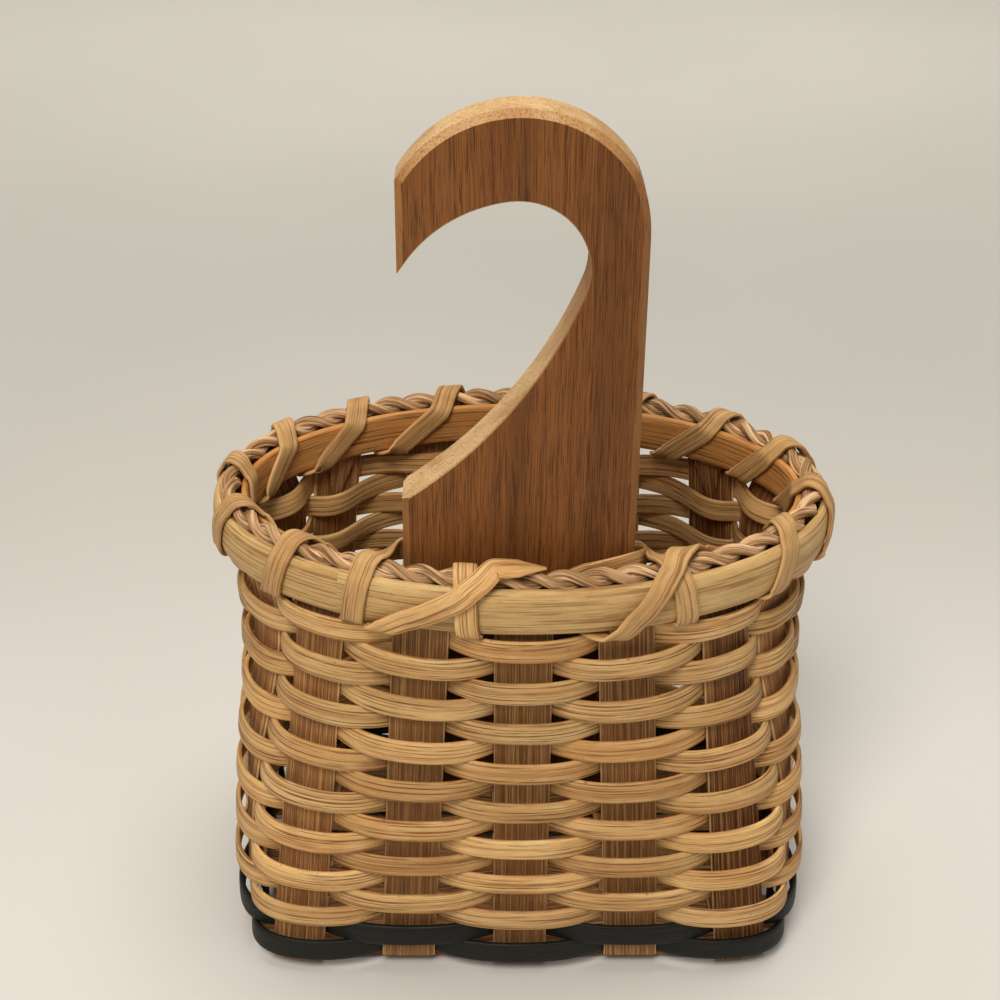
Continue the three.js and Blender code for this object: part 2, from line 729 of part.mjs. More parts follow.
// Shares of the way from one slot to the next at corners 1 to 6 of a plain loop
const loopShares = [0.06, 0.2, 0.26, 0.33, 0.42, 0.9];
const innerFaceShare = 0.66;

function plainLoop(from, to) {
  const placeAt = (share) => mix(from.place, to.place, share);
  const corners = loopShares.map((share, i) => cornerPoint(placeAt(share), i + 1));
  const innerFace = facePoint(placeAt(innerFaceShare), 5, 0.5);
  return [cornerPoint(from.place, 0, 0, from.width), ...corners.slice(0, 5), innerFace, corners[5]]
    .concat(enterSlot(to));
}

// A point on a strap that lies on edge against the board: sideways and deep are -1, 0 or 1 for the
// board's left, neither or right and front, neither or back, and facing is -1 where the strip's inner
// side is turned away from the board
function boardPoint(sideways, deep, { height, lift = 0, facing = 1, x = hookLeft, y = hookFront }) {
  const off = lashingGap + lashingThickness / 2 + lift;
  const besideX = sideways > 0 ? hookRight + off : hookLeft - off;
  const besideY = deep > 0 ? hookBack + off : hookFront - off;
  const position = new THREE.Vector3(sideways === 0 ? x : besideX, deep === 0 ? y : besideY, height);
  const normal = new THREE.Vector3(sideways, deep, 0).normalize().multiplyScalar(facing);
  return { position, normal, width: lashingWidth, across: up };
}

// A strip of lashing along a path, with extra sections where it twists
function lashingStrip(path) {
  const points = [];
  path.forEach((point, i) => {
    if (i > 0) {
      const before = path[i - 1];
      const twist = before.normal.angleTo(point.normal);
      const isTwisting = twist > 0.9 && !(before.across && point.across);
      const steps = isTwisting ? Math.ceil(twist / 0.4) : 1;
      for (let step = 1; step < steps; step += 1) {
        const share = step / steps;
        points.push({
          position: before.position.clone().lerp(point.position, share),
          normal: before.normal.clone().lerp(point.normal, share).normalize(),
          width: mix(before.width, point.width, share),
        });
      }
    }
    points.push(point);
  });
  return points.map(({ position, normal, width, across: givenAcross }, i) => {
    const before = points[Math.max(i - 1, 0)].position;
    const after = points[Math.min(i + 1, points.length - 1)].position;
    const isEnd = i === 0 || i === points.length - 1;
    const arriving = (isEnd ? after.clone().sub(before) : position.clone().sub(before)).normalize();
    const leaving = (isEnd ? after.clone().sub(before) : after.clone().sub(position)).normalize();
    const along = arriving.clone().add(leaving).normalize();
    const square = normal.clone().addScaledVector(along, -normal.dot(along)).normalize();
    const face = givenAcross ? normal : square;
    const across = givenAcross ?? along.clone().cross(face);
    const sineOfHalfTurn = leaving.sub(arriving).dot(face) / 2;
    const half = lashingThickness / 2 / Math.sqrt(1 - sineOfHalfTurn ** 2);
    return [
      [1, 1],
      [-1, 1],
      [-1, -1],
      [1, -1],
    ].map(([side, out]) => {
      return position
        .clone()
        .addScaledVector(across, (side * width) / 2)
        .addScaledVector(face, out * half);
    });
  });
}

// A diagonal up the outer face of the rim, lifted off it where it crosses another strip
const crossingLift = lashingThickness + 2 * lashingSelfGap;

function outerDiagonal(fromPlace, toPlace) {
  return [0.25, 0.5, 0.75].map((share) => {
    const lift = Math.min(1, 2 * share) * crossingLift;
    return facePoint(mix(fromPlace, toPlace, share), 1, share, lift);
  });
}

// A strap leaves the top of the rim level, beyond the seagrass, before it turns on edge round the board
const strapHeight = seagrassHeight + seagrassRadius + lashingGap + lashingThickness / 2;

function levelStrap(x) {
  const position = new THREE.Vector3(x, hookFront - strapBeforeBoard, strapHeight);
  return { position, normal: up.clone(), width: lashingWidth };
}

const nearPlace = (x) => placeNear(rimWall, x);

// The long strip: right diagonal of the hook, once round the basket, behind the board and down again
function rimLashing() {
  const start = slot(2);
  const second = slot(lastCross);
  const last = slot(uprightCount, 0, 2);
  const end = slot(3);
  const path = [cornerPoint(start.place, 6), ...enterSlot(start)];
  path.push(cornerPoint(start.place, 0, 0, start.width));

  const foot = nearPlace(rightDiagonalFoot);
  const overTop = rightDiagonalOverTop.map(nearPlace);
  path.push(cornerPoint(foot, 1), ...outerDiagonal(foot, overTop[0]));
  path.push(cornerPoint(overTop[0], 2, crossingLift), cornerPoint(overTop[1], 3, crossingLift));
  path.push(cornerPoint(overTop[2], 4, crossingLift / 2), cornerPoint(overTop[3], 5));
  const [faceStepBack, cornerStepBack] = secondSlotApproach;
  path.push(facePoint(second.place - faceStepBack, 5, 0.5), cornerPoint(second.place - cornerStepBack, 6));
  path.push(...enterSlot(second));

  for (let g = lastCross; g < uprightCount - 1; g += 1) path.push(...plainLoop(slot(g), slot(g + 1)));
  path.push(...plainLoop(slot(uprightCount - 1), last), cornerPoint(last.place, 0, 0, last.width));
  path.push(...lastSlotRise.map((step, i) => cornerPoint(last.place + step, i + 1)));
  path.push(levelStrap(hookLeft - strapTurnBeforeBoard));

  const height = strapHeight;
  const lift = crossingLift;
  const onEdge = hookFront + strapOnBoardEdge;
  path.push(boardPoint(-1, 0, { height, y: onEdge }), boardPoint(-1, 1, { height }));
  path.push(boardPoint(0, 1, { height, lift, x: hookLeft + strapLiftFromLeft }));
  path.push(boardPoint(1, 1, { height, lift }), boardPoint(1, 0, { height, lift, y: onEdge }));

  const [turn, ...down] = rightStrapOverTop;
  path.push(levelStrap(turn), ...down.map((x, i) => cornerPoint(nearPlace(x), 4 - i)));
  path.push(cornerPoint(end.place, 0, 0, end.width), slotPoint(end), cornerPoint(end.place, 7, 0, end.width));
  path.push(cornerPoint(end.place + rightEndStep, 6));
  return path;
}

// The short strip: down the left of the hook, across behind the rim, round the board and back as the
// left diagonal
function hookLashing() {
  const middle = slot(1);
  const left = slot(0, 1, 2);
  const path = cutEndStep.map((step, i) => cornerPoint(middle.place + step, 4 - i));
  path.push(cornerPoint(middle.place, 0, 0, middle.width), slotPoint(middle));
  path.push(cornerPoint(middle.place, 7, 0, middle.width));
  path.push(cornerPoint(middle.place + innerFaceStep, 6, gap));
  const rise = innerFaceRise.map(nearPlace);
  path.push(facePoint(rise[0], 5, 0.7, gap), facePoint(rise[1], 5, 0.35, gap), cornerPoint(rise[2], 5, gap));

  const facing = -1;
  const highStrap = strapHeight + highStrapRise;
  path.push(boardPoint(1, -1, { height: highStrap, facing }));
  path.push(boardPoint(1, 1, { height: highStrap - highStrapDrop, facing }));
  path.push(boardPoint(-1, 1, { height: innerBandBottom - lowStrapDrop, facing }), ...enterSlot(left));

  const foot = left.place + leftDiagonalStep;
  const overTop = leftDiagonalOverTop.map(nearPlace);
  path.push(cornerPoint(left.place, 0, 0, left.width), cornerPoint(foot, 1));
  path.push(...outerDiagonal(foot, overTop[0]));
  path.push(cornerPoint(overTop[0], 2, crossingLift), cornerPoint(overTop[1], 3, crossingLift));
  path.push(cornerPoint(overTop[2], 4, gap, lashingWidth / 2));
  return path;
}

// The least gap between parts of one strip that lie well apart along it, measured on points
function leastSelfGap(sections) {
  const apart = 3 * lashingWidth;
  const samples = [];
  let travelled = 0;
  for (let i = 0; i < sections.length - 1; i += 1) {
    const span = sections[i][0].distanceTo(sections[i + 1][0]);
    const steps = Math.ceil(span);
    for (let step = 0; step < steps; step += 1) {
      const corners = sections[i].map((point, c) => point.clone().lerp(sections[i + 1][c], step / steps));
      for (const [from, to] of [[0, 1], [3, 2]]) {
        for (let across = 0; across <= 6; across += 1) {
          const point = corners[from].clone().lerp(corners[to], across / 6);
          samples.push({ point, travelled: travelled + (span * step) / steps });
        }
      }
    }
    travelled += span;
  }
  let least = Infinity;
  samples.forEach((a, i) => {
    for (let j = i + 1; j < samples.length; j += 1) {
      const b = samples[j];
      if (b.travelled - a.travelled < apart) continue;
      least = Math.min(least, a.point.distanceTo(b.point));
    }
  });
  return least;
}

// Materials
const finish = (color, roughness) => new THREE.MeshStandardMaterial({ color, roughness, metalness: 0 });
const stakeReed = finish(0x9c6a35, 0.7);
const weaverReed = finish(0xb98345, 0.65);
const dyedReed = finish(0x23251c, 0.75);
const rimReed = finish(0xcaa05c, 0.6);
const lashingReed = finish(0xd2a763, 0.6);
const seagrass = finish(0x9a8a58, 0.85);
const oak = finish(0xa8743c, 0.5);

const basket = new THREE.Group();
basket.name = "hanging_door_basket";

function add(name, geometry, material) {
  const mesh = new THREE.Mesh(geometry, material.clone());
  mesh.name = name;
  basket.add(mesh);
}

for (let i = 0; i < crossStakeCount; i += 1) add("cross_stake_" + (i + 1), crossStake(i), stakeReed);
for (let j = 0; j < longStakeCount; j += 1) add("long_stake_" + (j + 1), longStake(j), stakeReed);
for (let j = 0; j <= longStakeCount; j += 1) add("base_filler_" + (j + 1), baseFiller(2 * j), stakeReed);
for (let row = 1; row <= rowCount; row += 1) {
  const isDyed = row <= dyedRowCount;
  const name = isDyed ? "dyed_weaver_" + row : "weaver_" + String(row).padStart(2, "0");
  add(name, weaver(row), isDyed ? dyedReed : weaverReed);
}
add("rim_row", rimRow(), weaverReed);
add("outer_rim_band", rimRing(outerBandSection), rimReed);
add("inner_rim_band", rimRing(innerBandSection), rimReed);
add("seagrass_filler", rimRing(seagrassSection), seagrass);
add("oak_hook", hook(), oak);
for (const [name, path] of [["rim_lashing", rimLashing()], ["hook_lashing", hookLashing()]]) {
  const sections = lashingStrip(path);
  console.log(name + ": least gap to itself " + leastSelfGap(sections).toFixed(2) + " mm");
  add(name, loft(sections, false), lashingReed);
}

export default basket;
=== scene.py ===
# A hanging door basket: flat reed woven round upright stakes, a lashed rim and a flat oak hook.
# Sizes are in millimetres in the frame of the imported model, and become metres as each mesh is made.
# X runs along the door, Y from the door into the room and Z up.
import math
from collections import namedtuple

import bpy
import numpy as np
from mathutils import Euler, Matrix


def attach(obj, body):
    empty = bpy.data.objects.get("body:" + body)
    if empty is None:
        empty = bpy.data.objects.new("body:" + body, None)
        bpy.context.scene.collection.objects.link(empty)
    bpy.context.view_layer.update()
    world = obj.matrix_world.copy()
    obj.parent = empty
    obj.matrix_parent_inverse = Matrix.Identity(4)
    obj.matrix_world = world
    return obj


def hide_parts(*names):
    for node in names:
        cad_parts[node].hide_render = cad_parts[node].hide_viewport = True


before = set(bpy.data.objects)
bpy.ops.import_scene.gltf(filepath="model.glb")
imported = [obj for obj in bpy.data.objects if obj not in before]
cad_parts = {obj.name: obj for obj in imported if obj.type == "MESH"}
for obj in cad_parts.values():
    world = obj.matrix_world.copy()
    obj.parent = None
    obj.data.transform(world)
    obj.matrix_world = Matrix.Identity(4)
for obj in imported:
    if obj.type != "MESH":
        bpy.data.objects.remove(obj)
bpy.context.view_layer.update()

MM = 0.001
UP = np.array([0.0, 0.0, 1.0])

# Space left between neighbouring pieces
GAP = 0.3
BASE_GAP = 0.35
LASHING_GAP = 0.35
LASHING_ROW_GAP = 0.6
LASHING_SELF_GAP = 0.25
LASHING_OFF_RIM = 0.08

# Stakes
CROSS_STAKES = 5
LONG_STAKES = 3
STAKE_WIDTH = 16.0
STAKE_THICKNESS = 1.2
STAKE_BEND = 1.5
CROSS_SPACE = 18.2
FILLER_WIDTH = 9.5
STRIP_SPACE = 0.75
FILLER_END_ROOM = 5.0

# Wall outline at the base and at the rim
CORNER_ROOM = 7.2
EDGE_ROOM = 3.25
BASE_SQUARENESS = 8.0
RIM_SQUARENESS = 2.0
WAIST = 4.0
WAIST_RISE = 0.8
END_LEAN = 1.0
SIDE_LEAN = 5.0
SIDE_PITCH_AT_RIM = 23.2
SIDE_SHIFT_AT_RIM = 1.5
NEAR_LEFT_SPACE = 12.4
NEAR_RIGHT_SPACE = 9.3
FAR_RIGHT_SPACE = 7.5
FAR_LEFT_SPACE = 7.5

# Weavers and rim row. A reed's face is the share of its thickness that bulges outwards, its edges are
# fuller where its roundness is low, and its reach is a share of its width.
ROWS = 17
DYED_ROWS = 2
WEAVER_WIDTH = 6.83
WEAVER_THICKNESS = 1.6
WEAVER_FACE = 0.6
WEAVER_ROUNDNESS = 0.5
WEAVER_REACH = 1.04
DYED_REACH = 1.13
REACH_UNEVENNESS = 0.04
ROW_GAP = 0.35
OWN_DRIFT = 0.14
SHARED_DRIFT = 0.3
RIM_ROW_WIDTH = 9.5
RIM_ROW_THICKNESS = 0.8
RIM_ROW_FACE = 0.5
RIM_ROW_ROUNDNESS = 0.45

# Each weaver starts and ends behind this upright on the far side, or behind the next one
FAR_JOINT_UPRIGHT = 9

# Bows of the weavers over the stakes
BOW_TO_SPACE = 0.155
BOW_SPREAD = (0.8, 1.25)
BOW_FULLNESS = 2.5
DYED_BOW_SHARE = 0.55
FAR_BOW_SHARE = 0.5

# Stake ends
FOLDED_THICKNESS = 0.7
FOLDED_HALF_AT_BAND = 4.8
FOLDED_HALF_AT_ROW = 4.0
TUCKED_THICKNESS = 0.5
TUCKED_HALF = 2.0
TUCKED_BELOW_ROW = 3.0
CUT_END_ABOVE_RIM_ROW = 1.3

# Rim bands. Each is joined on the near side, at the X of its joint.
OUTER_BAND_WIDTH = 14.2
OUTER_BAND_THICKNESS = 3.2
OUTER_BAND_FACE = 0.78
OUTER_BAND_ROUNDNESS = 0.8
OUTER_BAND_UNEVENNESS = 0.015
OUTER_BAND_JOINT = -48.5
INNER_BAND_WIDTH = 12.2
INNER_BAND_THICKNESS = 2.4
INNER_BAND_FACE = 0.7
INNER_BAND_ROUNDNESS = 0.5
INNER_BAND_UNEVENNESS = 0.012
INNER_BAND_JOINT = 10.0

# Seagrass. A lay is the length in which a ply or a blade turns once.
SEAGRASS_RADIUS = 3.05
SEAGRASS_OFFSET = -0.3
SEAGRASS_UNDER_GAP = 0.39
SEAGRASS_JOINT = -40.0
PLIES = 2
BLADES_IN_PLY = 6
PLY_OFFSET = 1.45
BLADE_OFFSET = 0.95
BLADE_RADIUS = 0.72
BLADE_SIDES = 8
PLY_LAY = 19.0
BLADE_LAY = 42.0
BLADE_UNEVENNESS = 0.22
BLADE_WAVES_PER_METRE = 160.0
BLADE_WAVES_APART = 3.7
BLADE_THINNEST = 0.7
BLADE_SWELLING = 0.6

# Lashing
LASHING_WIDTH = 6.6
LASHING_THICKNESS = 1.3
LASHING_FACE = 0.55
LASHING_ROUNDNESS = 0.5
LASHING_STEP = 0.9

# Loose fibres on some reeds: how many to a square metre of reed, and their sizes
FIBRES_ON = {
    "reed_row_06": 500,
    "reed_row_09": 700,
    "reed_row_12": 1200,
    "reed_row_14": 700,
    "reed_row_17": 1200,
    "rim_wrap": 900,
    "outer_band": 700,
}
FIBRE_LENGTH = 3.4
FIBRE_RADIUS = 0.085
FIBRE_STEPS = 5
FIBRE_SIDES = 3
FIBRE_SHARES = (0.4, 1.0)

# Oak hook
HOOK_LENGTH = 203.0
HOOK_WIDTH = 62.4
HOOK_THICKNESS = 12.7
HOOK_TOP = 268.9
HOOK_CENTRE = -1.6
HOOK_CHAMFER = 1.8
HOOK_SAWN_EDGE = 0.35
HOOK_SHARP_EDGE = math.radians(28)
CROWN_CENTRE = -2.1
LEFT_SHOULDER_DROP = 17.9
RIGHT_SHOULDER_DROP = 23.8
RIGHT_SHOULDER_ROUNDING = 9.0
THROAT_RADIUS = 17.9
THROAT_CENTRE = -2.9
THROAT_DROP = 22.6
NOSE_RADIUS = 37.0
NOSE_DROP = 42.1
HEEL_RADIUS = 126.0
HEEL_DROP = 106.3

# Sizes that follow from these
cross_pitch = STAKE_WIDTH + CROSS_SPACE
strip_pitch = (STAKE_WIDTH + FILLER_WIDTH) / 2 + STRIP_SPACE
strip_count = 2 * LONG_STAKES + 1
base_length = CROSS_STAKES * STAKE_WIDTH + (CROSS_STAKES - 1) * CROSS_SPACE + 2 * CORNER_ROOM
base_depth = (strip_count - 1) * strip_pitch + FILLER_WIDTH + 2 * EDGE_ROOM
rim_length = base_length + 2 * END_LEAN
rim_depth = base_depth + 2 * SIDE_LEAN
low_level = STAKE_THICKNESS / 2
middle_level = low_level + STAKE_THICKNESS + BASE_GAP
high_level = middle_level + STAKE_THICKNESS + BASE_GAP
row_pitch = WEAVER_WIDTH + ROW_GAP
first_row_bottom = high_level + STAKE_BEND
rows_top = first_row_bottom + ROWS * row_pitch - ROW_GAP
slot_height = rows_top + LASHING_ROW_GAP + LASHING_THICKNESS / 2
rim_bottom = slot_height + LASHING_THICKNESS / 2 + LASHING_GAP
rim_top = rim_bottom + OUTER_BAND_WIDTH
rim_row_bottom = rim_bottom + GAP
rim_row_top = rim_row_bottom + RIM_ROW_WIDTH

# Offsets from the middle of the wall, positive outwards
weaver_edge_offset = STAKE_THICKNESS / 2 + GAP + WEAVER_THICKNESS / 2
rim_row_offset = STAKE_THICKNESS / 2 + GAP + RIM_ROW_THICKNESS / 2
folded_offset = -(rim_row_offset + RIM_ROW_THICKNESS / 2 + GAP + FOLDED_THICKNESS / 2)
tucked_offset = -(STAKE_THICKNESS / 2 + GAP + TUCKED_THICKNESS / 2)
fold_radius = -folded_offset / 2
outer_band_inside = rim_row_offset + RIM_ROW_THICKNESS / 2 + GAP
inner_band_outside = folded_offset - FOLDED_THICKNESS / 2 - GAP
inner_band_inside = inner_band_outside - INNER_BAND_THICKNESS
inner_band_bottom = rim_top - INNER_BAND_WIDTH
seagrass_height = rim_row_top + fold_radius + FOLDED_THICKNESS / 2 + SEAGRASS_UNDER_GAP + SEAGRASS_RADIUS

UPRIGHTS = 2 * (CROSS_STAKES + LONG_STAKES)
LAST_CROSS = CROSS_STAKES - 1
LAST_LONG = LONG_STAKES - 1
LAST_FAR = 2 * CROSS_STAKES + LONG_STAKES - 1


def mix(first, last, share):
    return first + (last - first) * share


def unit(vector):
    return vector / np.linalg.norm(vector, axis=-1, keepdims=True)


# The wall: its middle at one height is a rounded oblong. Places on it are lengths along the curve,
# counter-clockwise seen from above, from the middle of the right end.
WALL_SAMPLES = 1440


class Wall:
    """The middle of the wall at one share of its rise from base to rim."""

    def __init__(self, rise):
        waist_power = WAIST_RISE / (1 - WAIST_RISE)
        waist_share = (rise**waist_power * (1 - rise)) / (WAIST_RISE**waist_power * (1 - WAIST_RISE))
        self.half_length = mix(base_length, rim_length, rise) / 2 - WAIST * waist_share
        self.half_depth = mix(base_depth, rim_depth, rise) / 2
        self.power = RIM_SQUARENESS + (BASE_SQUARENESS - RIM_SQUARENESS) * (1 - rise) ** 2
        angle = np.linspace(0, 2 * math.pi, WALL_SAMPLES + 1)
        across = np.abs(np.cos(angle) / self.half_length) ** self.power
        along = np.abs(np.sin(angle) / self.half_depth) ** self.power
        radius = (across + along) ** (-1 / self.power)
        self.x = radius * np.cos(angle)
        self.y = radius * np.sin(angle)
        steps = np.hypot(np.diff(self.x), np.diff(self.y))
        self.run = np.concatenate([[0.0], np.cumsum(steps)])
        self.length = self.run[-1]

    def at(self, place):
        """The points at these places and the directions straight out of the wall there."""
        wrapped = np.mod(np.asarray(place, float), self.length)
        x = np.interp(wrapped, self.run, self.x)
        y = np.interp(wrapped, self.run, self.y)
        out_x = np.sign(x) * np.abs(x / self.half_length) ** (self.power - 1) / self.half_length
        out_y = np.sign(y) * np.abs(y / self.half_depth) ** (self.power - 1) / self.half_depth
        level = np.zeros_like(x)
        return np.stack([x, y, level], -1), unit(np.stack([out_x, out_y, level], -1))

    def place_where(self, axis, value, first_quarter, last_quarter):
        """The place where x or y takes a value, searched over quarters of the turn."""
        steps = np.arange(first_quarter * WALL_SAMPLES // 4, last_quarter * WALL_SAMPLES // 4)
        here = np.mod(steps, WALL_SAMPLES)
        values = self.x if axis == "x" else self.y
        passed = (values[here] - value) * (values[here + 1] - value) <= 0
        found = int(np.argmax(passed))
        i = here[found]
        share = (value - values[i]) / (values[i + 1] - values[i])
        turn = -self.length if steps[found] < 0 else 0.0
        return turn + mix(self.run[i], self.run[i + 1], share)

    def near(self, x):
        return self.place_where("x", x, 2, 4)

    def far(self, x):
        return self.place_where("x", x, 0, 2)

    def right(self, y):
        return self.place_where("y", y, -1, 1)

    def left(self, y):
        return self.place_where("y", y, 1, 3)


# Walls and places of uprights that have been worked out, by their rise
walls = {}
upright_places = {}


def rise_at(height):
    return min(max(height / rim_bottom, 0.0), 1.0)


def wall_at(height):
    rise = rise_at(height)
    if rise not in walls:
        walls[rise] = Wall(rise)
    return walls[rise]


def cross_base_x(i):
    return (i - LAST_CROSS / 2) * cross_pitch


def strip_y(j):
    return (j - LONG_STAKES) * strip_pitch


def side_rim_y(j, shift):
    return (j - LAST_LONG / 2) * SIDE_PITCH_AT_RIM + shift


def corner_x(side, j, shift, step):
    """X at the rim of the end cross stake beside a long stake, a step along the wall from it."""
    return rim_wall.at(side(side_rim_y(j, shift)) + step)[0][0]


rim_wall = wall_at(rim_top)
near_left_x = corner_x(rim_wall.left, 0, SIDE_SHIFT_AT_RIM, STAKE_WIDTH + NEAR_LEFT_SPACE)
near_right_x = corner_x(rim_wall.right, 0, -SIDE_SHIFT_AT_RIM, -STAKE_WIDTH - NEAR_RIGHT_SPACE)
far_right_x = corner_x(rim_wall.right, LAST_LONG, -SIDE_SHIFT_AT_RIM, STAKE_WIDTH + FAR_RIGHT_SPACE)
far_left_x = corner_x(rim_wall.left, LAST_LONG, SIDE_SHIFT_AT_RIM, -STAKE_WIDTH - FAR_LEFT_SPACE)


def far_upright(i):
    return LAST_FAR - i


def left_upright(j):
    return UPRIGHTS - 1 - j


def right_upright(j):
    return CROSS_STAKES + j


def places_at(height):
    """Where the sixteen uprights stand, counter-clockwise from the near left corner."""
    rise = rise_at(height)
    if rise in upright_places:
        return upright_places[rise]
    wall = wall_at(height)
    places = np.zeros(UPRIGHTS)
    for i in range(CROSS_STAKES):
        share = i / LAST_CROSS
        places[i] = wall.near(mix(cross_base_x(i), mix(near_left_x, near_right_x, share), rise))
        places[far_upright(i)] = wall.far(mix(cross_base_x(i), mix(far_left_x, far_right_x, share), rise))
    for j in range(LONG_STAKES):
        base_y = strip_y(2 * j + 1)
        places[right_upright(j)] = wall.right(mix(base_y, side_rim_y(j, -SIDE_SHIFT_AT_RIM), rise))
        places[left_upright(j)] = wall.left(mix(base_y, side_rim_y(j, SIDE_SHIFT_AT_RIM), rise))
    for k in range(1, UPRIGHTS):
        while places[k] < places[k - 1]:
            places[k] += wall.length
    upright_places[rise] = places
    return places


def wall_point(k, height, sideways, offset):
    """A point beside upright k: sideways along the wall, then out from its middle."""
    point, outward = wall_at(height).at(places_at(height)[k] + sideways)
    return point + outward * offset + UP * height


def slow_wave(place, length, seed, counts=(2, 3, 5, 7)):
    """A gentle unevenness round a closed path, between about -1 and 1."""
    phases = np.random.default_rng(seed).uniform(0, 2 * math.pi, len(counts))
    turn = 2 * math.pi * np.asarray(place) / length
    return sum(np.sin(count * turn + phase) for count, phase in zip(counts, phases)) / len(counts)


# Mesh making. Each reed reads its own stretch of one fibre pattern: it starts further along, and it
# lies in the middle of a room of its own across.
PATTERN_START = 0.37
PATTERN_ROOM = 0.11

# The stretch that each reed takes. A weaver takes its row's number, and alike strips follow each other.
RIM_ROW_STRETCH = 20
OUTER_BAND_STRETCH = 31
INNER_BAND_STRETCH = 32
CROSS_STAKE_STRETCH = 40
LONG_STAKE_STRETCH = 50
FILLER_STRETCH = 60
RIM_LASHING_STRETCH = 71
HOOK_LASHING_STRETCH = 72

# Seeds of what is uneven. A weaver adds its row's number to the first two, and drifts by that number.
BOW_SEED = 100
REACH_SEED = 40
SHARED_DRIFT_SEED = 5
OUTER_BAND_SEED = 61
INNER_BAND_SEED = 62
SEAGRASS_SEED = 11


def placed(name, data):
    """A mesh, a lamp or a camera put into the scene as an object."""
    holder = bpy.data.objects.new(name, data)
    bpy.context.scene.collection.objects.link(holder)
    return holder


def mesh_of(name, points, edges, faces):
    """A mesh in metres from points in millimetres."""
    mesh = bpy.data.meshes.new(name)
    mesh.from_pydata((np.asarray(points) * MM).tolist(), edges, faces)
    return mesh


def mesh_object(name, points, faces, uvs=None):
    """A smooth surface. Its UVs hold the length along the reed and across it."""
    mesh = mesh_of(name, points, [], faces)
    if uvs is not None:
        corners = np.zeros(len(mesh.loops), int)
        mesh.loops.foreach_get("vertex_index", corners)
        layer = mesh.uv_layers.new(name="UVMap")
        layer.data.foreach_set("uv", np.asarray(uvs)[corners].ravel() * MM)
    mesh.shade_smooth()
    mesh.update()
    return placed(name, mesh)


def path_object(name, points, facings, reach):
    """An open path of points, each with the direction that the reed faces and its share of full width."""
    mesh = mesh_of(name, points, [(i, i + 1) for i in range(len(points) - 1)], [])
    facing_layer = mesh.attributes.new("facing", "FLOAT_VECTOR", "POINT")
    facing_layer.data.foreach_set("vector", np.asarray(facings, float).ravel())
    reach_layer = mesh.attributes.new("reach", "FLOAT", "POINT")
    reach_layer.data.foreach_set("value", np.broadcast_to(reach, len(points)).astype(float).ravel())
    return placed(name, mesh)


def square_to(facings, points):
    """The facings turned square to the path that they go with."""
    along = unit(np.gradient(points, axis=0))
    return unit(facings - along * np.sum(facings * along, -1, keepdims=True))


# Node trees
class Nodes:
    """Short ways to add nodes to a tree and to join their sockets."""

    def __init__(self, tree):
        self.tree = tree

    def node(self, kind, inputs=None, **settings):
        """A new node. Each input is either joined to a socket or set to a value."""
        node = self.tree.nodes.new(kind)
        for key, value in settings.items():
            setattr(node, key, value)
        for key, value in (inputs or {}).items():
            if isinstance(value, bpy.types.NodeSocket):
                self.tree.links.new(value, node.inputs[key])
            else:
                node.inputs[key].default_value = value
        return node

    def made(self, kind, inputs=None, **settings):
        """The first output of a new node."""
        return self.node(kind, inputs, **settings).outputs[0]

    def math(self, operation, first, second=0.0):
        return self.made("ShaderNodeMath", {0: first, 1: second}, operation=operation)

    def plus(self, first, second):
        return self.math("ADD", first, second)

    def minus(self, first, second):
        return self.math("SUBTRACT", first, second)

    def times(self, first, second):
        return self.math("MULTIPLY", first, second)

    def over(self, first, second):
        return self.math("DIVIDE", first, second)

    def vector(self, operation, first, second):
        return self.made("ShaderNodeVectorMath", {0: first, 1: second}, operation=operation)

    def scaled(self, vector, factor):
        return self.made("ShaderNodeVectorMath", {0: vector, "Scale": factor}, operation="SCALE")

    def place(self, x=0.0, y=0.0, z=0.0):
        return self.made("ShaderNodeCombineXYZ", {"X": x, "Y": y, "Z": z})

    def parts(self, vector):
        return self.node("ShaderNodeSeparateXYZ", {0: vector}).outputs


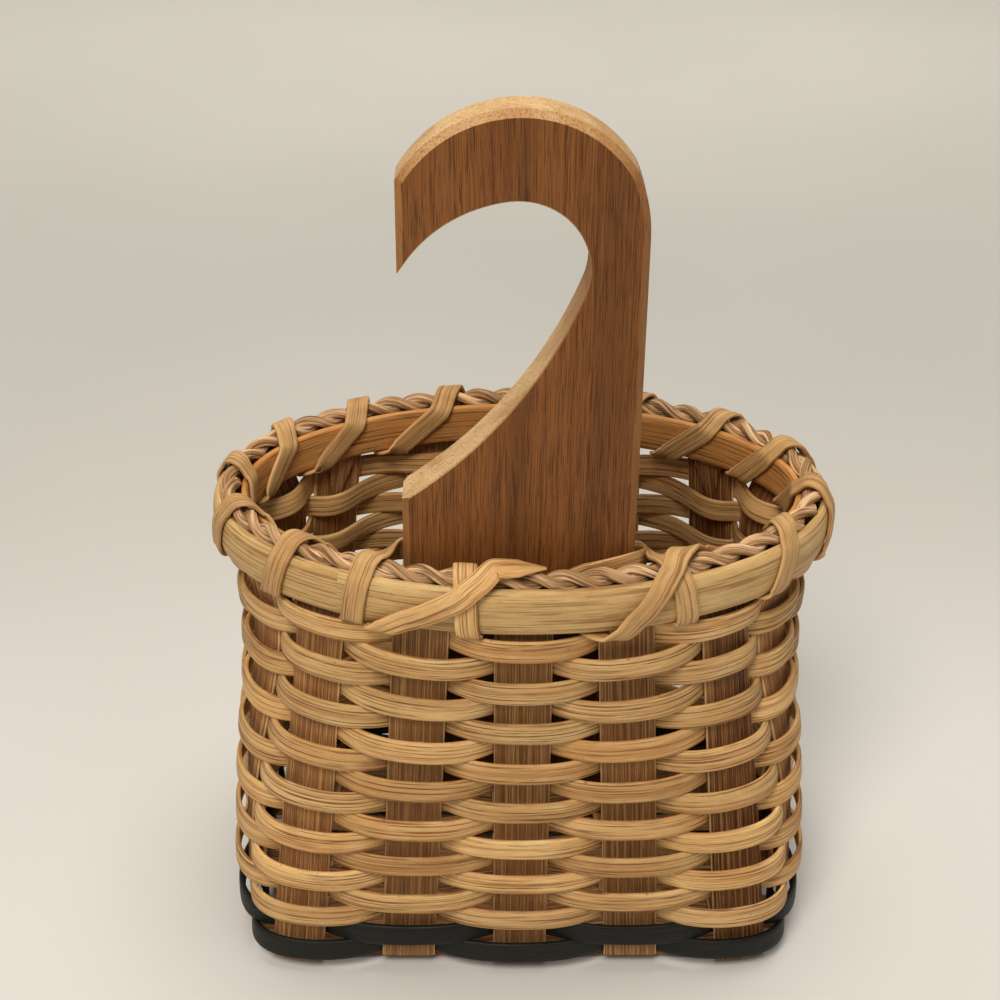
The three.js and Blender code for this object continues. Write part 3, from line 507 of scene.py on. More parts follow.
class Tree(Nodes):
    """A geometry node tree. It takes a geometry, a material, sizes and counts, each by its name."""

    def __init__(self, name, sizes, counts):
        super().__init__(bpy.data.node_groups.new(name, "GeometryNodeTree"))
        kinds = {"Geometry": "Geometry", "Material": "Material"}
        kinds.update(dict.fromkeys(sizes, "Float"))
        kinds.update(dict.fromkeys(counts, "Int"))
        self.entries = {}
        for entry, kind in kinds.items():
            socket = self.tree.interface.new_socket(entry, in_out="INPUT", socket_type="NodeSocket" + kind)
            self.entries[entry] = socket.identifier
        self.tree.interface.new_socket("Geometry", in_out="OUTPUT", socket_type="NodeSocketGeometry")
        self.start = self.tree.nodes.new("NodeGroupInput")

    def given(self, name):
        return self.start.outputs[name]

    def attribute(self, name, kind):
        return self.made("GeometryNodeInputNamedAttribute", {"Name": name}, data_type=kind)

    def captured(self, geometry, fields):
        """Keeps fields on the geometry as it is here. Returns the geometry and the kept fields."""
        keeper = self.tree.nodes.new("GeometryNodeCaptureAttribute")
        self.tree.links.new(geometry, keeper.inputs["Geometry"])
        for name, (kind, field) in fields.items():
            keeper.capture_items.new(kind, name)
            self.tree.links.new(field, keeper.inputs[name])
        return keeper.outputs["Geometry"], [keeper.outputs[name] for name in fields]

    def circle(self, points, radius):
        size = {"Resolution": points, "Radius": radius}
        return self.made("GeometryNodeCurvePrimitiveCircle", size, mode="RADIUS")

    def swept(self, path, profile, scale=1.0):
        parts = {"Curve": path, "Profile Curve": profile, "Scale": scale, "Fill Caps": True}
        return self.made("GeometryNodeCurveToMesh", parts)

    def with_uvs(self, geometry, along, across):
        stored = {"Geometry": geometry, "Name": "UVMap", "Value": self.place(along, across)}
        return self.made("GeometryNodeStoreNamedAttribute", stored, data_type="FLOAT2", domain="CORNER")

    def end(self, geometry):
        """Smooths the surface, makes instances real and sets the material."""
        smooth = self.made("GeometryNodeSetShadeSmooth", {"Geometry": geometry})
        real = self.made("GeometryNodeRealizeInstances", {"Geometry": smooth})
        material = self.given("Material")
        painted = self.made("GeometryNodeSetMaterial", {"Geometry": real, "Material": material})
        self.tree.links.new(painted, self.tree.nodes.new("NodeGroupOutput").inputs["Geometry"])


def grown(source, maker, name, values):
    """Runs a node tree on a source object, and keeps its result as a plain mesh under a new name."""
    modifier = source.modifiers.new("maker", "NODES")
    modifier.node_group = maker.tree
    for entry, value in values.items():
        modifier[maker.entries[entry]] = value
    evaluated = source.evaluated_get(bpy.context.evaluated_depsgraph_get())
    mesh = bpy.data.meshes.new_from_object(evaluated)
    mesh.name = name
    bpy.data.objects.remove(source)
    return placed(name, mesh)


def reed_tree():
    """A flat oval strip swept along a path. The face may bulge more than the back."""
    t = Tree(
        "Reed along a path",
        sizes=["Width", "Face height", "Back height", "Edge roundness", "Pattern start", "Pattern side"],
        counts=["Section points"],
    )
    curve = t.made("GeometryNodeMeshToCurve", {"Mesh": t.given("Geometry")})
    facing = t.attribute("facing", "FLOAT_VECTOR")
    turned = t.made("GeometryNodeSetCurveNormal", {"Curve": curve, "Normal": facing}, mode="FREE")
    length = t.node("GeometryNodeSplineParameter").outputs["Length"]
    path, (along,) = t.captured(turned, {"Along": ("FLOAT", length)})

    spot = t.parts(t.made("GeometryNodeInputPosition"))
    shaped = []
    for axis in ("X", "Y"):
        size = t.math("POWER", t.math("ABSOLUTE", spot[axis]), t.given("Edge roundness"))
        shaped.append(t.times(t.math("SIGN", spot[axis]), size))
    is_face = t.math("GREATER_THAN", spot["X"], 0.0)
    heights = {"Factor": is_face, "A": t.given("Back height"), "B": t.given("Face height")}
    off = t.times(shaped[0], t.made("ShaderNodeMix", heights))
    side = t.times(shaped[1], t.times(t.given("Width"), 0.5))
    circle = t.circle(t.given("Section points"), 1.0)
    section = t.made("GeometryNodeSetPosition", {"Geometry": circle, "Position": t.place(off, side)})
    profile, (across,) = t.captured(section, {"Across": ("FLOAT", spot["Y"])})

    swept = t.swept(path, profile, t.attribute("reach", "FLOAT"))
    pattern_along = t.plus(along, t.given("Pattern start"))
    t.end(t.with_uvs(swept, pattern_along, t.plus(across, t.given("Pattern side"))))
    return t


def seagrass_tree():
    """Blades of grass twisted into plies, and the plies twisted together along a path."""
    t = Tree(
        "Seagrass twisted along a path",
        sizes=["Ply offset", "Blade offset", "Blade radius", "Ply lay", "Blade lay", "Unevenness"],
        counts=["Plies", "Blades in a ply", "Seed"],
    )
    curve = t.made("GeometryNodeMeshToCurve", {"Mesh": t.given("Geometry")})
    facing = t.attribute("facing", "FLOAT_VECTOR")
    length = t.node("GeometryNodeSplineParameter").outputs["Length"]
    beside = t.vector("CROSS_PRODUCT", t.made("GeometryNodeInputTangent"), facing)
    fields = {"Along": ("FLOAT", length), "Out": ("VECTOR", facing), "Beside": ("VECTOR", beside)}
    path, (along, out, side) = t.captured(curve, fields)

    count = t.times(t.given("Plies"), t.given("Blades in a ply"))
    copies = t.node("GeometryNodeDuplicateElements", {"Geometry": path, "Amount": count}, domain="SPLINE")
    number = copies.outputs["Duplicate Index"]
    ply_share = t.over(t.math("MODULO", number, t.given("Plies")), t.given("Plies"))
    blade_share = t.over(t.math("FLOOR", t.over(number, t.given("Plies"))), t.given("Blades in a ply"))

    def around(share, lay, radius):
        angle = t.times(t.plus(t.over(along, lay), share), 2 * math.pi)
        outward = t.scaled(out, t.times(t.math("COSINE", angle), radius))
        sideways = t.scaled(side, t.times(t.math("SINE", angle), radius))
        return t.vector("ADD", outward, sideways)

    ply_helix = around(ply_share, t.given("Ply lay"), t.given("Ply offset"))
    blade_helix = around(blade_share, t.given("Blade lay"), t.given("Blade offset"))
    own = t.times(t.plus(number, t.given("Seed")), BLADE_WAVES_APART)
    place = t.place(t.times(along, BLADE_WAVES_PER_METRE), own)
    noise = t.node("ShaderNodeTexNoise", {"Vector": place, "Scale": 1.0, "Detail": 2.0})
    swing = t.vector("SUBTRACT", noise.outputs["Color"], (0.5, 0.5, 0.5))
    uneven = t.scaled(swing, t.times(t.given("Unevenness"), 2.0))
    shift = t.vector("ADD", t.vector("ADD", ply_helix, blade_helix), uneven)
    moved = t.made("GeometryNodeSetPosition", {"Geometry": copies.outputs["Geometry"], "Offset": shift})
    fields = {"Own": ("FLOAT", own), "Fullness": ("FLOAT", noise.outputs[0])}
    blades, (blade_own, fullness) = t.captured(moved, fields)

    spot = t.parts(t.made("GeometryNodeInputPosition"))
    circle = t.circle(BLADE_SIDES, t.given("Blade radius"))
    profile, (across,) = t.captured(circle, {"Across": ("FLOAT", spot["Y"])})
    swept = t.swept(blades, profile, t.plus(t.times(fullness, BLADE_SWELLING), BLADE_THINNEST))
    t.end(t.with_uvs(swept, along, t.plus(across, blade_own)))
    return t


def fibre_tree():
    """Short curled fibres that stand off the reed here and there, most of them along it."""
    sizes = ["Count per square metre", "Length", "Radius"]
    t = Tree("Loose fibres on a reed", sizes, counts=["Seed"])
    length, seed = t.given("Length"), t.given("Seed")

    def chance(low, high):
        limits = {"Min": low, "Max": high, "Seed": seed}
        return t.node("FunctionNodeRandomValue", limits, data_type="FLOAT").outputs[1]

    where = {"Mesh": t.given("Geometry"), "Density": t.given("Count per square metre"), "Seed": seed}
    spread = t.node("GeometryNodeDistributePointsOnFaces", where)
    half = t.times(length, 0.5)
    bend = t.made(
        "GeometryNodeCurvePrimitiveBezierSegment",
        {
            "Resolution": FIBRE_STEPS,
            "Start": (0.0, 0.0, 0.0),
            "Start Handle": t.place(half, 0.0, t.times(half, 0.3)),
            "End Handle": t.place(length, 0.0, t.times(half, 0.7)),
            "End": t.place(length, half, half),
        },
    )
    turn = t.place(0.0, 0.0, chance(0.0, 2 * math.pi))
    turns = {"Rotation": spread.outputs["Rotation"], "Rotate By": turn}
    fibres = t.made(
        "GeometryNodeInstanceOnPoints",
        {
            "Points": spread.outputs["Points"],
            "Instance": t.swept(bend, t.circle(FIBRE_SIDES, t.given("Radius"))),
            "Rotation": t.made("FunctionNodeRotateRotation", turns, rotation_space="LOCAL"),
            "Scale": chance(*FIBRE_SHARES),
        },
    )
    t.end(fibres)
    return t


# Weavers: places and offsets along one round, and the reed that follows them
STAKE_STEPS = 10
GAP_STEPS = 10
SECTION_POINTS = 20


def following_places(height):
    """The place of the upright after each one."""
    places = places_at(height)
    return np.append(places[1:], places[0] + wall_at(height).length)


def spaces_after(height):
    """The free space between each upright and the next."""
    return following_places(height) - places_at(height) - STAKE_WIDTH


def round_places(height):
    """Places all the way round: steps across each upright and steps over the space beyond it."""
    across = np.linspace(-0.5, 0.5, STAKE_STEPS, endpoint=False) * STAKE_WIDTH
    beyond = np.linspace(0, 1, GAP_STEPS, endpoint=False)
    legs = []
    for here, ahead in zip(places_at(height), following_places(height)):
        legs.append(here + across)
        legs.append(mix(here + STAKE_WIDTH / 2, ahead - STAKE_WIDTH / 2, beyond))
    return np.concatenate(legs)


def woven_offsets(height, starts_outside, edge, bellies):
    """Offsets for these places: each outer bow reaches from the upright before to the upright after, and
    behind those the reed turns back."""
    spaces = spaces_after(height)
    reaches = STAKE_WIDTH / 2 + spaces
    tops = edge + bellies
    across = np.linspace(-0.5, 0.5, STAKE_STEPS, endpoint=False)
    turn = across + 0.5
    share = np.linspace(0, 1, GAP_STEPS, endpoint=False)

    def bow(k, distance, reach):
        return tops[k] - (tops[k] + edge) * (distance / reach) ** BOW_FULLNESS

    def slope(k, reach):
        return BOW_FULLNESS * (tops[k] + edge) / reach

    legs = []
    for k in range(UPRIGHTS):
        before, after = (k - 1) % UPRIGHTS, (k + 1) % UPRIGHTS
        passes_outside = (k % 2 == 0) == starts_outside
        if passes_outside:
            reach = np.where(across < 0, reaches[before], reaches[k])
            legs.append(bow(k, np.abs(across) * STAKE_WIDTH, reach))
            legs.append(bow(k, STAKE_WIDTH / 2 + share * spaces[k], reaches[k]))
        else:
            inward = slope(before, reaches[before]) * turn * (1 - turn) ** 2
            outward = slope(after, reaches[k]) * turn**2 * (1 - turn)
            legs.append(-edge - STAKE_WIDTH * (inward + outward))
            legs.append(bow(after, STAKE_WIDTH / 2 + (1 - share) * spaces[k], reaches[k]))
    return np.concatenate(legs)


def round_path(bottom, top, offsets, lift=0.0):
    """The middle of a reed round the wall, and the directions that its face looks in."""
    edges = []
    for height in (bottom, top):
        points, outward = wall_at(height).at(round_places(height))
        edges.append(points + outward * offsets[:, None] + UP * height)
    middle = (edges[0] + edges[1]) / 2 + UP * np.reshape(lift, (-1, 1))
    upward = unit(edges[1] - edges[0])
    facing = unit(outward - upward * np.sum(outward * upward, -1, keepdims=True))
    return middle, facing


def opened(values, k):
    """A round that starts and ends at the middle of upright k."""
    start = k * (STAKE_STEPS + GAP_STEPS) + STAKE_STEPS // 2
    turned = np.roll(values, -start, axis=0)
    return np.concatenate([turned, turned[:1]])


# Cross sections of the flat oval reeds
Section = namedtuple("Section", "width thickness face roundness")
weaver_section = Section(WEAVER_WIDTH, WEAVER_THICKNESS, WEAVER_FACE, WEAVER_ROUNDNESS)
rim_row_section = Section(RIM_ROW_WIDTH, RIM_ROW_THICKNESS, RIM_ROW_FACE, RIM_ROW_ROUNDNESS)
outer_band_section = Section(OUTER_BAND_WIDTH, OUTER_BAND_THICKNESS, OUTER_BAND_FACE, OUTER_BAND_ROUNDNESS)
inner_band_section = Section(INNER_BAND_WIDTH, INNER_BAND_THICKNESS, INNER_BAND_FACE, INNER_BAND_ROUNDNESS)
lashing_section = Section(LASHING_WIDTH, LASHING_THICKNESS, LASHING_FACE, LASHING_ROUNDNESS)
reed_maker = reed_tree()


def reed(name, points, facings, reach, section, material, stretch):
    """A flat oval reed along a path, with its own stretch of the fibre pattern."""
    source = path_object(name + "_path", points, square_to(facings, points), reach)
    values = {
        "Width": section.width * MM,
        "Face height": section.thickness * section.face * MM,
        "Back height": section.thickness * (1 - section.face) * MM,
        "Edge roundness": section.roundness,
        "Section points": SECTION_POINTS,
        "Pattern start": PATTERN_START * stretch,
        "Pattern side": PATTERN_ROOM * stretch,
        "Material": material,
    }
    return grown(source, reed_maker, name, values)


def round_reed(name, path, reach, joint, section, material, stretch):
    """A reed once round the wall, which starts and ends at the middle of one upright."""
    middle, facing, reach = (opened(values, joint) for values in (*path, reach))
    return reed(name, middle, facing, reach, section, material, stretch)


def weaver(row, material):
    is_dyed = row <= DYED_ROWS
    starts_outside = row % 2 == 1
    bottom = first_row_bottom + (row - 1) * row_pitch
    height = bottom + WEAVER_WIDTH / 2
    spaces = spaces_after(height)
    spread = np.random.default_rng(BOW_SEED + row).uniform(*BOW_SPREAD, UPRIGHTS)
    bellies = BOW_TO_SPACE * (spaces + np.roll(spaces, 1)) / 2 * spread
    bellies[far_upright(LAST_CROSS) : far_upright(0) + 1] *= FAR_BOW_SHARE
    if is_dyed:
        bellies *= DYED_BOW_SHARE
    offsets = woven_offsets(height, starts_outside, weaver_edge_offset, bellies)

    length = wall_at(height).length
    places = round_places(height)
    own_drift = OWN_DRIFT * slow_wave(places, length, row)
    shared_drift = SHARED_DRIFT * slow_wave(places, length, SHARED_DRIFT_SEED, (1, 2, 3))
    path = round_path(bottom, bottom + WEAVER_WIDTH, offsets, own_drift + shared_drift)
    fullness = DYED_REACH if is_dyed else WEAVER_REACH
    unevenness = slow_wave(places, length, REACH_SEED + row, (4, 7, 11, 16))
    reach = fullness + REACH_UNEVENNESS * unevenness
    joint = FAR_JOINT_UPRIGHT if starts_outside else FAR_JOINT_UPRIGHT + 1
    name = "dyed_reed_%d" % row if is_dyed else "reed_row_%02d" % row
    return round_reed(name, path, reach, joint, weaver_section, material, row)


def rim_row(material):
    height = (rim_row_bottom + rim_row_top) / 2
    offsets = woven_offsets(height, ROWS % 2 == 0, rim_row_offset, np.zeros(UPRIGHTS))
    path = round_path(rim_row_bottom, rim_row_top, offsets)
    reach = np.ones(len(offsets))
    joint = FAR_JOINT_UPRIGHT
    return round_reed("flat_rim_row", path, reach, joint, rim_row_section, material, RIM_ROW_STRETCH)


# Strips of flat reed that follow the curve of the wall across their width: stakes and base fillers
ACROSS = np.array([-1, -0.965, -0.86, -0.5, 0, 0.5, 0.86, 0.965, 1])
EDGE_THINNING = np.array([0.4, 0.82, 1, 1, 1, 1, 1, 0.82, 0.4])
WALL_STEPS = 24
FOLD_STEPS = 10
BEND_STEPS = 8


def has_folded_end(k):
    return k % 2 == 0


def upright_row(k, height, offset, half_width, half):
    return wall_point(k, height, ACROSS * half_width, offset), half


def upright_rows(k):
    """The rows of an upright from the first weaver to its end."""
    half_width = STAKE_WIDTH / 2
    half = STAKE_THICKNESS / 2
    heights = np.linspace(first_row_bottom, rim_bottom, WALL_STEPS)
    rows = [upright_row(k, height, 0, half_width, half) for height in heights]
    if not has_folded_end(k):
        rows.append(upright_row(k, rim_row_top + CUT_END_ABOVE_RIM_ROW, 0, half_width, half))
        return rows
    rows.append(upright_row(k, rim_row_top - 2 * STAKE_THICKNESS, 0, half_width, half))
    for i in range(FOLD_STEPS + 1):
        angle = math.pi * i / FOLD_STEPS
        offset = fold_radius * (math.cos(angle) - 1)
        height = rim_row_top + fold_radius * math.sin(angle)
        rows.append(upright_row(k, height, offset, half_width, FOLDED_THICKNESS / 2))
    tuck_top = rows_top - row_pitch
    tuck_bottom = rows_top - 2 * row_pitch - TUCKED_BELOW_ROW
    rows.append(upright_row(k, rim_bottom, folded_offset, FOLDED_HALF_AT_BAND, FOLDED_THICKNESS / 2))
    rows.append(upright_row(k, rows_top, folded_offset, FOLDED_HALF_AT_ROW, FOLDED_THICKNESS / 2))
    rows.append(upright_row(k, tuck_top, tucked_offset, TUCKED_HALF, TUCKED_THICKNESS / 2))
    rows.append(upright_row(k, tuck_bottom, tucked_offset, TUCKED_HALF, TUCKED_THICKNESS / 2))
    return rows


def bend_rows(k, level, inward):
    """The bend from an upright into the base, from the wall down."""
    rows = []
    for i in range(BEND_STEPS + 1):
        angle = math.pi / 2 * (1 - i / BEND_STEPS)
        points, _ = upright_row(k, level + STAKE_BEND, 0, STAKE_WIDTH / 2, 0)
        points = points + np.array(inward) * STAKE_BEND * (1 - math.sin(angle))
        points[:, 2] = level + STAKE_BEND * (1 - math.cos(angle))
        rows.append((points, STAKE_THICKNESS / 2))
    return rows


def end_rows(k, level, inward):
    rows = upright_rows(k)[::-1]
    bend = bend_rows(k, level, inward)
    is_at_first_weaver = level + STAKE_BEND > first_row_bottom - GAP
    return rows + (bend[1:] if is_at_first_weaver else bend)


def turned_round(rows):
    return [(points[::-1], half) for points, half in rows]


def is_strip_on_top(i, j):
    return (i + j) % 2 == 0


def strip_half_width(j):
    return (FILLER_WIDTH if j % 2 == 0 else STAKE_WIDTH) / 2


def cross_stake_rows(i):
    def row(y, z):
        x = cross_base_x(i) + ACROSS * STAKE_WIDTH / 2
        return np.stack([x, np.full_like(x, y), np.full_like(x, z)], -1), STAKE_THICKNESS / 2

    def level_at(j):
        return low_level if is_strip_on_top(i, j) else high_level

    base = []
    for j in range(strip_count):
        base.append(row(strip_y(j), level_at(j)))
        if j < strip_count - 1:
            base.append(row(strip_y(j) + strip_half_width(j) + STRIP_SPACE / 2, middle_level))
    near = end_rows(i, level_at(0), (0, 1, 0))
    far = end_rows(far_upright(i), level_at(strip_count - 1), (0, -1, 0))
    return near + base + turned_round(far[::-1])


def strip_rows(j):
    """The rows of a strip along X between its two ends, level over or under every cross stake."""
    rows = []
    for i in range(CROSS_STAKES):
        level = high_level if is_strip_on_top(i, j) else low_level
        for side in (-1, 1):
            y = strip_y(j) + ACROSS * strip_half_width(j)
            x = np.full_like(y, cross_base_x(i) + side * STAKE_WIDTH / 2)
            rows.append((np.stack([x, y, np.full_like(y, level)], -1), STAKE_THICKNESS / 2))
    return rows


def long_stake_rows(j):
    base = strip_rows(2 * j + 1)
    left = end_rows(left_upright(j), base[0][0][0, 2], (1, 0, 0))
    right = end_rows(right_upright(j), base[-1][0][0, 2], (-1, 0, 0))
    return turned_round(left) + base + right[::-1]


def filler_rows(i):
    """A filler ends short of the wall, and the outer two end at the corners."""
    j = 2 * i
    is_outer = j in (0, strip_count - 1)
    edge = abs(strip_y(j)) + FILLER_WIDTH / 2 + STAKE_THICKNESS / 2 + 2 * GAP
    corner_end = wall_at(0).at(wall_at(0).right(edge))[0][0]
    end = corner_end if is_outer else base_length / 2 - FILLER_END_ROOM
    rows = strip_rows(j)
    rows[0][0][:, 0] = -end
    rows[-1][0][:, 0] = end
    return rows


def faces_between_rings(rings, count, is_turned=False):
    """Faces from each ring of points to the next, and one over each end. Turned ones look the other way."""
    faces = []
    for here in range(0, (rings - 1) * count, count):
        for i in range(count):
            k = (i + 1) % count
            corners = (here + i, here + k, here + count + k, here + count + i)
            faces.append(corners[:1] + corners[:0:-1] if is_turned else corners)
    turn = 1 if is_turned else -1
    first, last = range(count), range((rings - 1) * count, rings * count)
    return [*faces, tuple(first[::turn]), tuple(last[::-turn])]


def strip_piece(name, rows, material, stretch):
    """A closed strip through rows of points across its middle surface, thinner at its two edges."""
    points = np.array([row for row, _ in rows])
    half = np.array([half for _, half in rows])
    arriving = unit(np.diff(points, axis=0, prepend=2 * points[:1] - points[1:2]))
    leaving = unit(np.diff(points, axis=0, append=2 * points[-1:] - points[-2:-1]))
    along = unit(arriving + leaving)
    across = unit(np.gradient(points, axis=1))
    normal = unit(np.cross(along, across))
    off = normal * half[:, None, None] * EDGE_THINNING[None, :, None]
    sections = np.concatenate([points + off, (points - off)[:, ::-1]], axis=1)
    faces = faces_between_rings(*sections.shape[:2])

    middle = points[:, len(ACROSS) // 2]
    run = np.concatenate([[0.0], np.cumsum(np.linalg.norm(np.diff(middle, axis=0), axis=1))])
    width = np.linalg.norm(points[:, -1] - points[:, 0], axis=1)
    place_across = np.concatenate([ACROSS, ACROSS[::-1]])[None, :] * width[:, None] / 2
    uvs = np.stack([np.broadcast_to(run[:, None], place_across.shape), place_across], -1)
    uvs += np.array([PATTERN_START, PATTERN_ROOM]) / MM * stretch
    piece = mesh_object(name, sections.reshape(-1, 3), faces, uvs.reshape(-1, 2))
    piece.data.materials.append(material)
    return piece


# Rim: bands, and the lashing that winds round them
RIM_STEPS = 420


def rim_path(offset, height, joint_x):
    """A path once round the rim from its joint, with the directions straight out of the rim."""
    places = rim_wall.near(joint_x) + np.linspace(0, rim_wall.length, RIM_STEPS)
    points, outward = rim_wall.at(places)
    return points + outward * offset + UP * height, outward, places


outer_band_middle = outer_band_inside + (1 - OUTER_BAND_FACE) * OUTER_BAND_THICKNESS
outer_band_height = rim_bottom + OUTER_BAND_WIDTH / 2
inner_band_middle = inner_band_outside - (1 - INNER_BAND_FACE) * INNER_BAND_THICKNESS
inner_band_height = inner_band_bottom + INNER_BAND_WIDTH / 2


def band_reach(places, unevenness, seed):
    return 1 + unevenness * slow_wave(places, rim_wall.length, seed, (3, 8, 13))


def outer_band(material):
    points, outward, places = rim_path(outer_band_middle, outer_band_height, OUTER_BAND_JOINT)
    reach = band_reach(places, OUTER_BAND_UNEVENNESS, OUTER_BAND_SEED)
    return reed("outer_band", points, outward, reach, outer_band_section, material, OUTER_BAND_STRETCH)


def inner_band(material):
    points, outward, places = rim_path(inner_band_middle, inner_band_height, INNER_BAND_JOINT)
    reach = band_reach(places, INNER_BAND_UNEVENNESS, INNER_BAND_SEED)
    return reed("inner_band", points, -outward, reach, inner_band_section, material, INNER_BAND_STRETCH)


def seagrass_rope(material):
    points, outward, _ = rim_path(SEAGRASS_OFFSET, seagrass_height, SEAGRASS_JOINT)
    source = path_object("seagrass_path", points, square_to(outward, points), 1.0)
    values = {
        "Plies": PLIES,
        "Blades in a ply": BLADES_IN_PLY,
        "Ply offset": PLY_OFFSET * MM,
        "Blade offset": BLADE_OFFSET * MM,
        "Blade radius": BLADE_RADIUS * MM,
        "Ply lay": PLY_LAY * MM,
        "Blade lay": BLADE_LAY * MM,
        "Unevenness": BLADE_UNEVENNESS * MM,
        "Seed": SEAGRASS_SEED,
        "Material": material,
    }
    return grown(source, seagrass_tree(), "seagrass_rope", values)


# Lashing: a tight strip lies on the hull of the bands and the seagrass. The hull has eight corners, one
# between each pair of eight faces. Face 0 looks down, and the rest follow: out, up and back in.
FACE_STEP = math.pi / 4
HULL_STEPS = 720
OVAL_STEPS = 32
LOOP_SHARES = [0.06, 0.2, 0.26, 0.33, 0.42, 0.9]
INNER_FACE_SHARE = 0.66
EASING_REACH = 3

crossing_lift = LASHING_THICKNESS + LASHING_SELF_GAP
strap_height = seagrass_height + SEAGRASS_RADIUS + LASHING_GAP + LASHING_THICKNESS / 2
hook_left = HOOK_CENTRE - HOOK_WIDTH / 2
hook_right = HOOK_CENTRE + HOOK_WIDTH / 2
hook_bottom = HOOK_TOP - HOOK_LENGTH


def board_front():
    """The board stands just inside the inner rim band, where the band comes closest to it."""
    faces = []
    for x in (hook_left, hook_right):
        point, outward = rim_wall.at(rim_wall.near(x))
        faces.append(point[1] + outward[1] * inner_band_inside)
    return max(faces) + 2 * GAP


hook_front = board_front()
hook_back = hook_front + HOOK_THICKNESS


def oval_face(middle, height, section, side):
    """Points round the face of a flat oval reed on edge, as offset and height. The face looks out of the
    wall where its side is 1, and into the basket where it is -1."""
    angle = np.linspace(-math.pi / 2, math.pi / 2, OVAL_STEPS + 1)
    off = side * section.face * section.thickness * np.cos(angle) ** section.roundness
    up = np.sign(np.sin(angle)) * np.abs(np.sin(angle)) ** section.roundness
    return np.stack([middle + off, height + section.width / 2 * up], -1)


def rim_hull():
    """The middle of a tight strip round the rim: its offsets and heights, the angles that it faces, and
    the length that it has run."""
    outer = oval_face(outer_band_middle, outer_band_height, outer_band_section, 1)
    inner = oval_face(inner_band_middle, inner_band_height, inner_band_section, -1)
    bands = np.concatenate([outer, inner])
    angles = np.linspace(-math.pi / 2, 3 * math.pi / 2, HULL_STEPS + 1)
    normals = np.stack([np.cos(angles), np.sin(angles)], -1)
    on_bands = bands[np.argmax(normals @ bands.T, axis=1)]
    on_seagrass = np.array([SEAGRASS_OFFSET, seagrass_height]) + SEAGRASS_RADIUS * normals
    is_seagrass = np.sum(on_seagrass * normals, -1) > np.sum(on_bands * normals, -1)
    outline = np.where(is_seagrass[:, None], on_seagrass, on_bands)
    outline = outline + (LASHING_OFF_RIM + LASHING_THICKNESS / 2) * normals
    run = np.concatenate([[0.0], np.cumsum(np.linalg.norm(np.diff(outline, axis=0), axis=1))])
    return outline, angles, run


hull_outline, hull_angles, hull_run = rim_hull()


def corner_run(corner):
    """How far round the hull a corner is."""
    return np.interp(-math.pi / 2 + (corner + 0.5) * FACE_STEP, hull_angles, hull_run)


def lash_point(position, normal, width=LASHING_WIDTH):
    """A point of a strip: where it is, where its face looks and how wide it is there."""
    return {"position": position, "normal": unit(np.asarray(normal, float)), "width": width}


def rim_point(place, offset, height, angle, width=LASHING_WIDTH):
    point, outward = rim_wall.at(place)
    position = point + outward * offset + UP * height
    return lash_point(position, outward * math.cos(angle) + UP * math.sin(angle), width)


def hull_point(place, run, lift=0.0, width=LASHING_WIDTH):
    angle = np.interp(run, hull_run, hull_angles)
    offset = np.interp(run, hull_run, hull_outline[:, 0]) + lift * math.cos(angle)
    height = np.interp(run, hull_run, hull_outline[:, 1]) + lift * math.sin(angle)
    on_hull = {"place": place, "run": run, "lift": lift}
    return {**rim_point(place, offset, height, angle, width), **on_hull}


def corner_point(place, corner, lift=0.0, width=LASHING_WIDTH):
    return hull_point(place, corner_run(corner), lift, width)


def face_point(place, corner, share, lift=0.0, width=LASHING_WIDTH):
    return hull_point(place, mix(corner_run(corner), corner_run(corner + 1), share), lift, width)


def filled_in(path):
    """The path with the hull followed closely between each two points on it."""
    points = [path[0]]
    for here, ahead in zip(path, path[1:]):
        if "run" in here and "run" in ahead:
            count = math.ceil(math.hypot(ahead["run"] - here["run"], ahead["place"] - here["place"]))
            for share in np.arange(1, count) / max(count, 1):
                keys = ("place", "run", "lift", "width")
                points.append(hull_point(*(mix(here[key], ahead[key], share) for key in keys)))
        points.append(ahead)
    return points


def with_easy_turns(path):
    """The path with its slant along the rim changing gently, not in one place."""
    points = list(path)
    for i in range(EASING_REACH, len(path) - EASING_REACH):
        beside = path[i - EASING_REACH : i + EASING_REACH + 1]
        if all("run" in point for point in beside):
            place = np.mean([point["place"] for point in beside])
            points[i] = hull_point(place, path[i]["run"], path[i]["lift"], path[i]["width"])
    return points


def slot(g, part=0, parts=1):
    """The space between upright g and the next, shared by a number of strips."""
    places = places_at(rim_top)
    turn = (g // UPRIGHTS) * rim_wall.length
    next_turn = ((g + 1) // UPRIGHTS) * rim_wall.length
    start = places[g % UPRIGHTS] + turn + STAKE_WIDTH / 2
    end = places[(g + 1) % UPRIGHTS] + next_turn - STAKE_WIDTH / 2
    width = min(LASHING_WIDTH, (end - start - (parts + 1) * LASHING_SELF_GAP) / parts)
    return mix(start, end, (part + 0.5) / parts), width


def slot_point(place, width):
    """In the middle of the wall, where a strip goes through between the top weaver and the bands."""
    return rim_point(place, 0, slot_height, -math.pi / 2, width)


def enter_slot(place, width):
    """Down the inside of the rim and out through the wall."""
    return [corner_point(place, 7, 0, width), slot_point(place, width)]


def enter_slot_from_outside(place, width):
    """Down the outside of the rim, in through the wall and up inside."""
    return [corner_point(place, 0, 0, width), *enter_slot(place, width)[::-1]]


def plain_loop(start, end):
    """Out of one slot, over the rim and down inside to the next slot."""

    def place_at(share):
        return mix(start[0], end[0], share)

    corners = [corner_point(place_at(share), i + 1) for i, share in enumerate(LOOP_SHARES)]
    inner_face = face_point(place_at(INNER_FACE_SHARE), 5, 0.5)
    first = corner_point(start[0], 0, 0, start[1])
    return [first, *corners[:5], inner_face, corners[5], *enter_slot(*end)]


